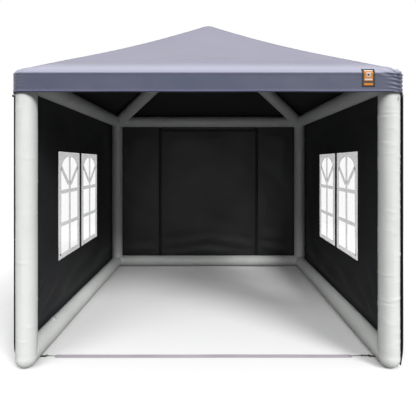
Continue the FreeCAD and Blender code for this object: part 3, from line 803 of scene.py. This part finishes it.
def build_legs():
    """Legs with round ends, a weld band at each end, and flattened feet."""
    bend = np.linspace(-math.pi / 2 + 0.05, 0, 9)
    foot = GROUND_Z + CAP_R * np.sin(bend)
    top = EAVE_Z - CAP_R * np.sin(bend[::-1])
    shaft = np.linspace(GROUND_Z, EAVE_Z, 250)[1:-1]
    weld = 1 - smooth_step((np.minimum(shaft - GROUND_Z, EAVE_Z - shaft) - 0.012) / 0.006)
    radius = np.concatenate([CAP_R * np.cos(bend), TUBE_R + 0.0012 * weld, CAP_R * np.cos(bend[::-1])])
    for name, (sx, sy) in CORNERS.items():
        tube_piece(
            f"leg_{name}_sleeve",
            (sx * AXIS, sy * AXIS, 0.0),
            UP,
            np.concatenate([foot, shaft, top]),
            radius - 0.0008,
            angles=64,
            seed=11 + len(name) + sx * 3 + sy,
            creases={"front_right": 170, "front_left": 46}.get(name, 60),
            floor=0.0,
        )


def saddle(angle):
    """Where a level tube's end meets the legs, by the angle round it."""
    inset = np.sqrt(np.maximum(0.0805**2 - (TUBE_R * np.sin(angle)) ** 2, 0.0)) - 0.003
    return inset - AXIS, AXIS - inset


def build_rails():
    for side, (dx, dy) in SIDES.items():
        direction = np.array([abs(dy), abs(dx), 0.0], dtype=float)
        for kind, z in (("base_rail", GROUND_Z), ("eave_rail", EAVE_Z)):
            if kind == "base_rail" and side == "front":
                continue
            ground = kind == "base_rail"
            tube_piece(
                f"{kind}_{side}_sleeve",
                (dx * AXIS, dy * AXIS, z),
                direction,
                np.linspace(-AXIS, AXIS, 250),
                TUBE_R - 0.0006,
                cuts=saddle,
                seed=41 + len(side) + (3 if ground else 0),
                creases=56,
                floor=0.0 if ground else None,
            )


def build_rafters():
    for name, (sx, sy) in CORNERS.items():
        low = np.array([sx * AXIS, sy * AXIS, RAFTER_FOOT_Z])
        high = np.array([0.0, 0.0, APEX_Z])
        direction = unit(high - low)
        along = np.linspace(0.055, np.linalg.norm(high - low) - 0.045, 190)
        seed = 71 + len(name) + sx
        tube_piece(f"rafter_{name}_sleeve", low, direction, along, TUBE_R - 0.0006, seed=seed, creases=34)
    bend = np.linspace(-math.pi / 2 + 0.04, math.pi / 2 - 0.04, 36)
    along, radius = HUB_R * np.sin(bend), (HUB_R - 0.0015) * np.cos(bend)
    tube_piece("apex_hub_sleeve", (0, 0, APEX_Z), UP, along, radius, seed=91, creases=14)


# Walls: every sheet, pane and strip of a wall follows one shape


def across_wall(side, along, height, lift=0.0):
    """Points on a wall, given the distance along it and the height, raised towards the outside."""
    along, height = np.broadcast_arrays(np.asarray(along, float), np.asarray(height, float))
    if side != "back":
        pull, low_pull = {"left": (0.038, 0.055), "right": (0.014, 0.034)}[side]
        pull = pull + low_pull * (1 - smooth_step(height / 0.24)) ** 2
        pull = pull + 0.062 * smooth_step((height - HEM_Z + 0.012) / 0.03)
        along = along + pull * smooth_step((-1.28 - along) / 0.21)
    inward = smooth_step((1.33 - np.abs(along)) / 0.18)
    clear = inward * smooth_step((height - 0.13) / 0.12) * smooth_step((2.13 - height) / 0.16)
    if side == "back":
        clear = clear * smooth_step((np.abs(np.abs(along) - abs(DOOR_HIGH[0])) - 0.03) / 0.12)
    start = {"left": 0.7, "right": 2.2, "back": 4.4}[side]
    fold = 0.0045 * np.sin(along * 5.1 + height * 3.3 + start)
    fold += 0.0030 * np.sin(along * 9.7 - height * 5.9 + 2 * start)
    fold += 0.0020 * np.sin(height * 14 + along * 6 + 3 * np.sin(along * 2.2 + start))
    low_fold = np.sin((height + 0.16 * np.abs(along)) * 31 + start) * hump(height, 0.30, 0.20)
    fan = np.arctan2(height + 0.25, along + 1.75)
    slant = np.sin(fan * 34 + start + 1.5 * np.sin(height * 5)) * hump(height, 0.38, 0.26)
    fold += 0.0045 * low_fold + (0.0120 if side != "back" else 0.0) * slant
    if side != "back":
        calm = smooth_step((0.98 - np.abs(along)) / 0.2)
        calm = calm * smooth_step((height - 0.36) / 0.14) * smooth_step((2.0 - height) / 0.14)
        fold = fold * (1 - 0.92 * calm)
    bulge = clear * (fold - 0.006) + lift
    if side == "back":
        return np.stack([along, WALL + bulge, height], -1)
    sign = 1 if side == "right" else -1
    return np.stack([sign * (WALL + bulge), along, height], -1)


def spaced(*stops, step=0.022):
    """Numbers from the first stop to the last, evenly spaced between each two."""
    parts = [np.linspace(a, b, max(2, int(round((b - a) / step)) + 1))[:-1] for a, b in zip(stops, stops[1:])]
    return np.concatenate(parts + [[stops[-1]]])


def wall_sheet(
    name,
    side,
    along,
    height,
    replaced,
    body="frame",
    material=WALLS,
    window=False,
    thickness=0.0011,
):
    """A sheet of a wall on a grid, without the quads of its window if it has one."""
    a, h = np.meshgrid(along, height)
    points = across_wall(side, a, h)
    keep = None
    if window:
        mid_a, mid_h = (a[:-1, :-1] + a[1:, 1:]) / 2, (h[:-1, :-1] + h[1:, 1:]) / 2
        beside = (mid_a <= WINDOW_LOW[1]) | (mid_a >= WINDOW_HIGH[1])
        keep = beside | (mid_h <= WINDOW_LOW[2]) | (mid_h >= WINDOW_HIGH[2])
    faces, corner_r, corner_c = grid_faces(len(height), len(along), keep=keep, flip=side != "right")
    used = np.unique(faces)
    renumber = np.zeros(points.shape[0] * points.shape[1], dtype=int)
    renumber[used] = np.arange(len(used))
    uv = grid_uv(corner_r, corner_c, np.asarray(along), np.asarray(height))
    points = points.reshape(-1, 3)[used]
    piece = make_piece(name, points, renumber[faces], material, body, uv=uv, node=replaced)
    return thicken(piece, thickness, offset=0.0)


def ribbons(
    name, side, strips, body="frame", slot="wall_cloth", materials=(WALLS,), thickness=0.0009, replaced=()
):
    """Strips on a wall, in one piece. Each has two edges, as distance along and height, lift and material."""
    points, faces, uvs, indices = [], [], [], []
    first = 0
    for edge_a, edge_b, lift, material in strips:
        edge_a, edge_b = np.asarray(edge_a, float), np.asarray(edge_b, float)
        flat = np.stack([edge_a, (edge_a + edge_b) / 2, edge_b])
        made = across_wall(side, flat[..., 0], flat[..., 1], lift)
        cells, corner_r, corner_c = grid_faces(3, flat.shape[1], first=first)
        normal = np.cross(made[0, 1] - made[0, 0], made[1, 0] - made[0, 0])
        if np.dot(normal, OUTSIDE[side]) < 0:
            cells, corner_r, corner_c = cells[:, ::-1], corner_r[:, ::-1], corner_c[:, ::-1]
        points.append(made.reshape(-1, 3))
        faces += [list(cell) for cell in cells]
        uvs.append(flat[corner_r, corner_c].reshape(-1, 2))
        indices += [material] * len(cells)
        first += flat.shape[0] * flat.shape[1]
    points, uv = np.concatenate(points), np.concatenate(uvs)
    piece = make_piece(name, points, faces, materials, body, uv=uv, node=replaced)
    piece.data.polygons.foreach_set("material_index", indices)
    return thicken(piece, thickness, offset=0.0)


def straight(a, b, width, steps=12):
    """The two edges of a straight strip between two points."""
    a, b = np.asarray(a, float), np.asarray(b, float)
    line = a + (b - a) * np.linspace(0, 1, steps)[:, None]
    across = np.array([-(b - a)[1], (b - a)[0]]) / np.linalg.norm(b - a) * width / 2
    return line - across, line + across


def upright_edges(a0, a1, h0, h1, steps=14):
    """The two upright edges of a rectangle, for a strip."""
    h = np.linspace(h0, h1, steps)
    return np.stack([np.full(steps, a0), h], 1), np.stack([np.full(steps, a1), h], 1)


def pane_pattern(a0, a1, h0, h1):
    """The printed pattern of a pane: a frame whose top is an arch, a V, an upright bar and two level bars."""
    wide, tall = a1 - a0, h1 - h0
    bar, upright_bar, slant_bar = 0.040, 0.054, 0.050
    edge, border = 0.078, 0.008
    printed, white = 0, 1

    def at(u, v):
        return np.stack([a0 + u * wide, h1 - v * tall], -1)

    def block(left, right, low, high, material=printed, steps=14):
        strips.append((*upright_edges(left, right, low, high, steps), material))

    strips = []
    block(a0, a0 + border, h0, h1, white)
    block(a1 - border, a1, h0, h1, white)
    block(a0 + border, a1 - border, h0, h0 + border, white)
    block(a0 + border, a1 - border, h1 - border, h1, white)
    u = np.linspace(border / wide, 1 - border / wide, 31)
    bow = np.clip(1 - ((u - 0.5) / (0.485 - edge / wide)) ** 2, 0, 1)
    arch = 0.165 - 0.120 * np.sqrt(bow)
    strips.append((at(u, arch), at(u, np.full(31, border / tall)), printed))
    low = h0 + 0.055
    block(a0 + border, a0 + edge, h0 + border, h1 - 0.165 * tall)
    block(a1 - edge, a1 - border, h0 + border, h1 - 0.165 * tall)
    block(a0 + edge, a1 - edge, h0 + border, low)
    middle = (a0 + a1) / 2
    half = upright_bar / 2
    block(middle - half, middle + half, low, h1 - 0.045 * tall, steps=40)
    for v in (0.376, 0.680):
        h = h1 - v * tall
        for left, right in ((a0 + edge, middle - half), (middle + half, a1 - edge)):
            block(left, right, h - bar / 2, h + bar / 2, steps=3)
    foot = np.array([middle, h1 - 0.335 * tall])
    for a in (a0 + edge, a1 - edge):
        start = np.array([a, h1 - 0.150 * tall])
        strips.append((*straight(start, foot + 0.13 * (start - foot), slant_bar), printed))
    return strips


def build_window(side):
    a0, a1, h0, h1 = WINDOW_LOW[1], WINDOW_HIGH[1], WINDOW_LOW[2], WINDOW_HIGH[2]
    on_film = {"slot": "window_film", "materials": [PRINT, WHITE_PRINT], "thickness": 0.0003}
    for half, start, end in (("front", a0, -BAND_HALF), ("back", BAND_HALF, a1)):
        name = f"{side}_{half}"
        film = wall_sheet(
            f"window_film_{name}",
            side,
            spaced(start, end),
            spaced(h0, h1),
            f"window_pane_{name}",
            material=FILM,
            thickness=0.0004,
        )
        pattern = pane_pattern(start, end, h0, h1)
        lifts = [0.0006 + 0.00003 * number for number in range(len(pattern))]
        outer = [(*edges, lift, which) for (*edges, which), lift in zip(pattern, lifts)]
        ribbons(f"window_print_{name}", side, outer, **on_film)
        inner = [(*edges, -lift, which) for (*edges, which), lift in zip(pattern, lifts)]
        ribbons(f"window_print_inside_{name}", side, inner, **on_film)
    lap = 0.004
    edges = upright_edges(-BAND_HALF - lap, BAND_HALF + lap, h0 - lap, h1 + lap, 52)
    band = ribbons(
        f"window_band_cloth_{side}",
        side,
        [(*edges, 0.0, 0)],
        slot="band_cloth",
        materials=[BAND],
        thickness=0.0030,
        replaced=f"window_band_{side}",
    )
    eyelet = across_wall(side, a0 + 0.055, h0 + 0.050, -0.0014)
    loop(f"window_eyelet_{side}", eyelet, (1, 0, 0), 0.0075, 0.0028, DARK_PLASTIC, "frame")
    tape, lap = 0.020, 0.003
    middle = (tape - lap) / 2
    binding = []
    for lift in (0.0012, -0.0012):
        for a, b in ((a0 - tape, a0 + lap), (a1 - lap, a1 + tape)):
            binding.append((*upright_edges(a, b, h0 - tape, h1 + tape, 56), lift, 0))
        for h in (h0 - middle, h1 + middle):
            binding.append((*straight((a0 + lap, h), (a1 - lap, h), tape + lap, 60), lift, 0))
    ribbons(f"window_binding_{side}", side, binding)
    lines = []
    for lift in (0.0021, -0.0021):
        for inset in (0.004, tape - 0.004):
            left, right, low, high = a0 - inset, a1 + inset, h0 - inset, h1 + inset
            corners = [(left, low), (right, low), (right, high), (left, high)]
            for start, end in zip(corners, corners[1:] + corners[:1]):
                lines.append(wall_line(side, start, end, lift))
    stitches(f"window_stitches_{side}", lines, 0.012, 0.008, "frame")


def wall_line(side, start, end, lift, steps=50):
    """A line on a wall between two points given as distance along and height, with the wall's normal."""
    start, end = np.asarray(start, float), np.asarray(end, float)
    line = start + (end - start) * np.linspace(0, 1, steps)[:, None]
    return across_wall(side, line[:, 0], line[:, 1], lift), np.tile(OUTSIDE[side], (steps, 1))


def build_side_walls():
    heights = spaced(WALL_LOW[2], 0.30, WINDOW_LOW[2], WINDOW_HIGH[2], WALL_HIGH[2])
    along = spaced(WALL_LOW[1], WINDOW_LOW[1], WINDOW_HIGH[1], WALL - 0.0006)
    a0, a1, h0, h1 = WALL_LOW[1], WALL - 0.002, WALL_LOW[2], WALL_HIGH[2]
    for side in ("left", "right"):
        wall = wall_sheet(f"side_wall_{side}", side, along, heights, f"wall_{side}", window=True)
        build_window(side)
        hems = []
        for lift in (0.0011, -0.0011):
            hems.append((*straight((a0, h0 + 0.012), (a1, h0 + 0.012), 0.024, 130), lift, 0))
            hems.append((*upright_edges(a0, a0 + 0.018, h0 + 0.024, h1, 100), lift, 0))
        ribbons(f"wall_hems_{side}", side, hems)
        lines = []
        for lift in (0.0018, -0.0018):
            lines.append(wall_line(side, (a0 + 0.01, h0 + 0.020), (a1 - 0.01, h0 + 0.020), lift, 130))
            lines.append(wall_line(side, (a0 + 0.014, h0 + 0.02), (a0 + 0.014, h1 - 0.01), lift, 100))
        stitches(f"wall_stitches_{side}", lines, 0.014, 0.009, "frame")


def build_back_wall():
    edge = HEADER_HIGH[0]
    for side, sign in (("left", -1), ("right", 1)):
        along = np.sort(sign * spaced(edge, WALL - 0.0006))
        heights = spaced(WALL_LOW[2], 0.30, WALL_HIGH[2])
        panel = wall_sheet(f"back_wall_{side}", "back", along, heights, f"back_panel_{side}")
    heights = spaced(HEADER_LOW[2], HEADER_HIGH[2])
    header = wall_sheet("cloth_over_door", "back", spaced(-edge, edge), heights, "door_header")
    along = spaced(DOOR_LOW[0], DOOR_HIGH[0])
    heights = spaced(DOOR_LOW[2], 0.30, DOOR_HIGH[2])
    door = wall_sheet("door_panel", "back", along, heights, "back_door", body="back_door")
    low, door_low = WALL_LOW[2] + 0.012, DOOR_LOW[2] + 0.012
    outer, inner, lines, door_lines, flaps = [], [], [], [], []

    def upright(a, b, h0, h1, lift):
        return (*upright_edges(min(a, b), max(a, b), h0, h1, 100), lift, 0)

    def level(a, b, h, lift, steps):
        return (*straight((a, h), (b, h), 0.024, steps), lift, 0)

    for sign in (-1, 1):
        jamb, door_edge = sign * edge, sign * DOOR_HIGH[0]
        for lift in (0.0010, -0.0010):
            outer.append(level(sign * (edge + 0.0005), sign * (WALL - 0.002), low, lift, 40))
            outer.append(upright(jamb, sign * (edge + 0.030), low + 0.012, HEADER_LOW[2] + 0.03, lift))
            door_in = sign * (DOOR_HIGH[0] - 0.030)
            inner.append(upright(door_in, door_edge, door_low + 0.012, DOOR_HIGH[2], lift))
        a, b = sign * (edge - 0.014), sign * (edge + 0.022)
        flaps.append(upright(a, b, 0.03, HEADER_LOW[2] + 0.012, -0.0028))
    for lift in (0.0010, -0.0010):
        inner.append(level(DOOR_LOW[0], DOOR_HIGH[0], door_low, lift, 70))
    flaps.append(level(-edge - 0.02, edge + 0.02, HEADER_LOW[2], -0.0030, 70))
    ribbons("back_wall_hems", "back", outer)
    ribbons("door_hems", "back", inner, body="back_door")
    # the flaps' much darker cloth is painted shade of the zips' recess
    ribbons("door_zip_flaps", "back", flaps, materials=[FLAP_PAINTED_SHADE])
    for lift in (0.0018, -0.0018):
        for sign in (-1, 1):
            a, b, x = sign * (edge + 0.026), sign * (WALL - 0.01), sign * (DOOR_HIGH[0] - 0.026)
            lines.append(wall_line("back", (a, 0.05), (a, HEADER_LOW[2]), lift, 90))
            lines.append(wall_line("back", (sign * (edge + 0.01), 0.040), (b, 0.040), lift, 40))
            door_lines.append(wall_line("back", (x, 0.05), (x, DOOR_HIGH[2] - 0.005), lift, 90))
        ends = (DOOR_LOW[0] + 0.01, 0.042), (DOOR_HIGH[0] - 0.01, 0.042)
        door_lines.append(wall_line("back", *ends, lift, 70))
    stitches("back_wall_stitches", lines, 0.014, 0.009, "frame")
    stitches("door_stitches", door_lines, 0.014, 0.009, "back_door")


def build_zips():
    """Zip teeth in rows on the door and on the wall, and the half zips on the side walls' front edges."""
    pitch, steps, tooth = 0.0033, 60, (0.0021, 0.0028, 0.0017)
    low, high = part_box("door_zip_coils_wall")
    y = (low[1] + high[1]) / 2
    for kind, body in (("wall", "frame"), ("door", "back_door")):
        coils = f"door_zip_coils_{kind}"
        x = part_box(coils)[1][0] - 0.0015
        lines = []
        for sign in (-1, 1):
            heights = np.linspace(low[2], high[2], steps)
            points = np.stack([np.full(steps, sign * x), np.full(steps, y - 0.0001), heights], 1)
            lines.append((points, np.tile(OUTSIDE["back"], (steps, 1))))
        blocks_along(f"zip_teeth_{kind}", lines, pitch, tooth, NYLON, body, [coils])
    low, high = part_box("front_edge_zips")
    lines = []
    for side, other in (("left", "right"), ("right", "left")):
        heights = np.linspace(low[2], high[2], steps)
        points = across_wall(side, np.full(steps, low[1] + 0.0025), heights, -0.0030)
        lines.append((points, np.tile(OUTSIDE[other], (steps, 1))))
        tape = [(*upright_edges(low[1], high[1], low[2], high[2], 90), -0.0020, 0)]
        ribbons(f"front_zip_tape_{side}", side, tape, slot="zip_coil", thickness=0.0005)
    tooth = (0.0021, 0.0030, 0.0010)
    blocks_along("front_zip_teeth", lines, pitch, tooth, NYLON, "frame", ["front_edge_zips"])


# Ground strap, cords and toggles


def strap_ribbon(name, along, y, half, low, thick, replaced=(), sway=0.0):
    """A flat strap along X on the ground, with rounded edges and a slight wave."""
    around = 16
    along = np.asarray(along)
    turn = np.linspace(0, math.tau, around, endpoint=False)
    wide = np.sign(np.cos(turn)) * np.abs(np.cos(turn)) ** 0.35
    tall = np.sign(np.sin(turn)) * np.abs(np.sin(turn)) ** 0.6
    way, wide = np.meshgrid(along, wide, indexing="ij")
    middle = y + sway * (np.sin(way * 2.6 + 0.4) + 0.4 * np.sin(way * 7.1))
    rise = 0.0004 * (1 + np.sin(way * 11 + 0.5)) * (sway > 0)
    points = np.stack([way, middle + wide * half, low + thick / 2 + tall[None, :] * thick / 2 + rise], -1)
    faces, corner_r, corner_c = grid_faces(len(along), around, wrap=True)
    girth = np.concatenate([np.cumsum(np.full(around, half / 4)) - half / 4, [4 * half]])
    uv = np.vstack([grid_uv(corner_r, corner_c, girth, along), np.zeros((2 * around, 2))])
    last = (len(along) - 1) * around
    faces = [list(f) for f in faces]
    faces += [list(range(around))[::-1], [last + i for i in range(around)]]
    return turn_out(make_piece(name, points, faces, WEBBING, "strap", uv=uv, node=replaced))


def twisted(name, start, end, strand_r, pitch, body, replaced=()):
    """A cord of two strands laid round each other between two points."""
    start, end = np.asarray(start, float), np.asarray(end, float)
    length = np.linalg.norm(end - start)
    steps = max(12, int(length / 0.0022))
    t = np.linspace(0, 1, steps)
    line = start + (end - start) * t[:, None]
    up, side = frame_of(unit(end - start))
    turn = t * length / pitch * math.tau
    around = np.linspace(0, math.tau, 9)[:-1]
    circle = np.cos(around)[None, :, None] * up + np.sin(around)[None, :, None] * side
    points, faces, uvs, first = [], [], [], 0
    for phase in (0.0, math.pi):
        core = line + strand_r * (np.cos(turn + phase)[:, None] * up + np.sin(turn + phase)[:, None] * side)
        tube = core[:, None] + strand_r * 1.05 * circle
        cells, corner_r, corner_c = grid_faces(steps, 8, wrap=True, first=first, flip=True)
        points.append(tube.reshape(-1, 3))
        faces += [list(cell) for cell in cells]
        uvs.append(grid_uv(corner_r, corner_c, np.linspace(0, math.tau * strand_r, 9), t * length))
        faces += [[first + i for i in range(8)], [first + (steps - 1) * 8 + i for i in range(8)][::-1]]
        uvs.append(np.zeros((16, 2)))
        first += steps * 8
    points, uv = np.concatenate(points), np.concatenate(uvs)
    return turn_out(make_piece(name, points, faces, CORD, body, uv=uv, node=replaced))


def loop(name, centre, normal, radius, thick, material, body):
    """A closed ring of cord."""
    normal = unit(np.asarray(normal, float))
    up, side = frame_of(normal)
    steps, around = 28, 10
    a = np.linspace(0, math.tau, steps, endpoint=False)
    b = np.linspace(0, math.tau, around, endpoint=False)
    a, b = np.meshgrid(a, b, indexing="ij")
    out = np.cos(a)[..., None] * up + np.sin(a)[..., None] * side
    wide = radius + thick * np.cos(b) + 0.0003 * np.sin(a * 9)
    points = np.asarray(centre) + out * wide[..., None] + normal * (thick * np.sin(b))[..., None]
    index = np.arange(steps * around).reshape(steps, around)
    beside = np.roll(index, -1, 1)
    quads = np.stack([index, beside, np.roll(beside, -1, 0), np.roll(index, -1, 0)], -1).reshape(-1, 4)
    return turn_out(make_piece(name, points, quads, material, body, uv=np.zeros((4 * len(quads), 2))))


def build_ground_strap():
    low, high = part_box("ground_strap")
    y = (low[1] + high[1]) / 2
    half = (high[1] - low[1]) / 2
    z = low[2]
    along = spaced(low[0] + 0.010, high[0] - 0.010, step=0.010)

    def strap_line(x, offset, lift):
        points = np.stack([x, np.full(len(x), y + offset), np.full(len(x), z + lift)], 1)
        return points, np.tile(UP, (len(x), 1))

    strap_ribbon("strap_webbing", along, y, half, z, 0.0018, "ground_strap", sway=0.0012)
    for end, x0, x1 in (("left", low[0], low[0] + 0.030), ("right", high[0] - 0.030, high[0])):
        strap_ribbon(f"strap_fold_{end}", np.linspace(x0, x1, 8), y, 0.0125, z + 0.0012, 0.0046)
        x = np.linspace(x0 + 0.003, x1 - 0.003, 10)
        lines = [strap_line(x, offset, 0.0060) for offset in (-0.009, -0.003, 0.003, 0.009)]
        name = f"strap_end_stitches_{end}"
        stitches(name, lines, 0.004, 0.0026, "strap", thick=FINE_THREAD)
    edges = [strap_line(along, offset, 0.0023) for offset in (-half + 0.004, half - 0.004)]
    blocks_along("strap_edge_ribs", edges, 0.006, (0.0035, 0.0022, 0.0005), WEBBING, "strap")
    ring_low, ring_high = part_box("strap_rings")
    ring_z = (ring_low[2] + ring_high[2]) / 2
    hook_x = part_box("strap_hook")[0][0]
    bow_x = ring_low[0] + 0.0040 + 0.016
    cord_z = z + 0.0036
    strand, lay = 0.00125, 0.011
    start, end = (high[0] - 0.004, y, cord_z), (hook_x + 0.0035, y, ring_z + 0.0045)
    twisted("tie_cord_right", start, end, strand, lay, "strap", "strap_cords")
    start, end = (low[0] + 0.004, y, cord_z), (bow_x + 0.0052, y, ring_z)
    twisted("tie_cord_left", start, end, strand, lay, "strap")
    for side, centre, radius in (
        ("left", (bow_x, y, ring_z), 0.0038),
        ("right", (hook_x + 0.0022, y, ring_z + 0.0040), 0.0036),
    ):
        loop(f"tie_noose_{side}", centre, (0, 1, 0), radius, 0.0012, CORD, "strap")


def build_toggles():
    """Elastics that run from inside the hem to the balls, each a pair of thin strands."""
    _, ball_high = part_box("toggle_balls")
    x, top = ball_high[0] - 0.009, ball_high[2] - 0.002
    replaced = "toggle_elastics"
    for name, (sx, sy) in CORNERS.items():
        start = (sx * 1.4835, sy * 1.4835, HEM_Z + 0.012)
        end = (sx * (x - 0.001), sy * (WALL + 0.0078), top)
        twisted(f"toggle_elastic_{name}", start, end, 0.0009, 0.009, "canopy", replaced)
        replaced = ()


def dress_cad_nodes():
    """Finishes for the CAD nodes that stay as they are."""
    finishes = {
        BLADDER: ("leg_bladders", "base_rail_bladders", "eave_rail_bladders", "rafter_bladders"),
        PALE_PLASTIC: ("valve_body",),
        CAP_PLASTIC: ("valve_cap",),
        DARK_PLASTIC: ("valve_pin", "toggle_balls"),
        STEEL: ("valve_spring",),
        HOOKS: ("wall_hook_tapes",),
        GUNMETAL: ("zip_slider_left", "zip_slider_right", "zip_pull_left", "zip_pull_right"),
        BROWNED: ("strap_hook",),
        STEEL_DARK: ("strap_rings",),
        DARK_WEBBING: ("strap_tabs",),
    }
    for material, names in finishes.items():
        for name in names:
            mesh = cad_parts[name].data
            if not mesh.materials:
                mesh.materials.append(material)
            for index in range(len(mesh.materials)):
                mesh.materials[index] = material


# Camera, floor and light

FLOOR_BOUNCE, FLOOR_SEEN = 0.24, 0.95
LOW_SKY, HIGH_SKY = 0.02, 0.95
LENS_MM, FILM_MM = 31.7, 36.0
CAMERA_SHIFT = (-0.0024, -0.106)
CAMERA_PLACE = (0.0096, -4.293, 1.588)


def build_stage():
    mesh = bpy.data.meshes.new("studio_floor")
    reach = 7.0
    corners = [(-reach, -reach, 0), (reach, -reach, 0), (reach, reach, 0), (-reach, reach, 0)]
    mesh.from_pydata(corners, [], [(0, 1, 2, 3)])
    floor = bpy.data.objects.new("studio_floor", mesh)
    bpy.context.scene.collection.objects.link(floor)
    floor.location.z = -0.0004
    material = bpy.data.materials.new("pale_floor")
    material.use_nodes = True
    tree = material.node_tree
    shader = tree.nodes["Principled BSDF"].inputs
    shader["Roughness"].default_value = 0.8
    rays = node(tree, "ShaderNodeLightPath").outputs
    shade = mix(tree, rays["Is Camera Ray"], (*[FLOOR_BOUNCE] * 3, 1), (*[FLOOR_SEEN] * 3, 1))
    tree.links.new(shade, shader["Base Color"])
    place = node(tree, "ShaderNodeTexCoord").outputs["Object"]
    distance = node(tree, "ShaderNodeVectorMath", {0: place}, operation="LENGTH").outputs["Value"]
    tree.links.new(spread(tree, distance, 2.4, 6.5, 1.0, 0.0), shader["Alpha"])
    mesh.materials.append(material)


def far_light(name, place, strength, spread):
    """A soft light a long way off, which shines from a place towards the middle of the floor."""
    light = bpy.data.lights.new(name, "SUN")
    light.energy = strength
    light.angle = math.radians(spread)
    lamp = bpy.data.objects.new(name, light)
    bpy.context.scene.collection.objects.link(lamp)
    lamp.location = place
    lamp.rotation_euler = (-Vector(place)).to_track_quat("-Z", "Y").to_euler()


def build_light():
    """A white surround that lights matt surfaces mostly from above, a key light and a fill light."""
    world = bpy.data.worlds.new("studio")
    world.use_nodes = True
    bpy.context.scene.world = world
    tree = world.node_tree
    way = node(tree, "ShaderNodeTexCoord").outputs["Generated"]
    height = node(tree, "ShaderNodeSeparateXYZ", {0: way}).outputs["Z"]
    sky = spread(tree, height, 0.25, 0.75, LOW_SKY, HIGH_SKY)
    rays = node(tree, "ShaderNodeLightPath").outputs
    strength = spread(tree, rays["Is Diffuse Ray"], 0.0, 1.0, 1.0, sky)
    background = tree.nodes["Background"].inputs
    background["Color"].default_value = (1.0, 1.0, 1.0, 1)
    tree.links.new(strength, background["Strength"])
    far_light("key_light", (5.0, -6.3, 5.8), 2.35, 25)
    far_light("fill_light", (-4.0, -6.9, 7.2), 1.1, 40)


def build_camera():
    data = bpy.data.cameras.new("studio_camera")
    data.lens, data.sensor_width = LENS_MM, FILM_MM
    data.shift_x, data.shift_y = CAMERA_SHIFT
    camera = bpy.data.objects.new("studio_camera", data)
    bpy.context.scene.collection.objects.link(camera)
    camera.location = CAMERA_PLACE
    camera.rotation_euler = (math.radians(90), 0, 0)
    bpy.context.scene.camera = camera
    bpy.context.scene.view_settings.view_transform = "Standard"


build_camera()
build_stage()
build_light()
build_canopy()
build_label()
build_legs()
build_rails()
build_rafters()
build_side_walls()
build_back_wall()
build_zips()
build_ground_strap()
build_toggles()
dress_cad_nodes()
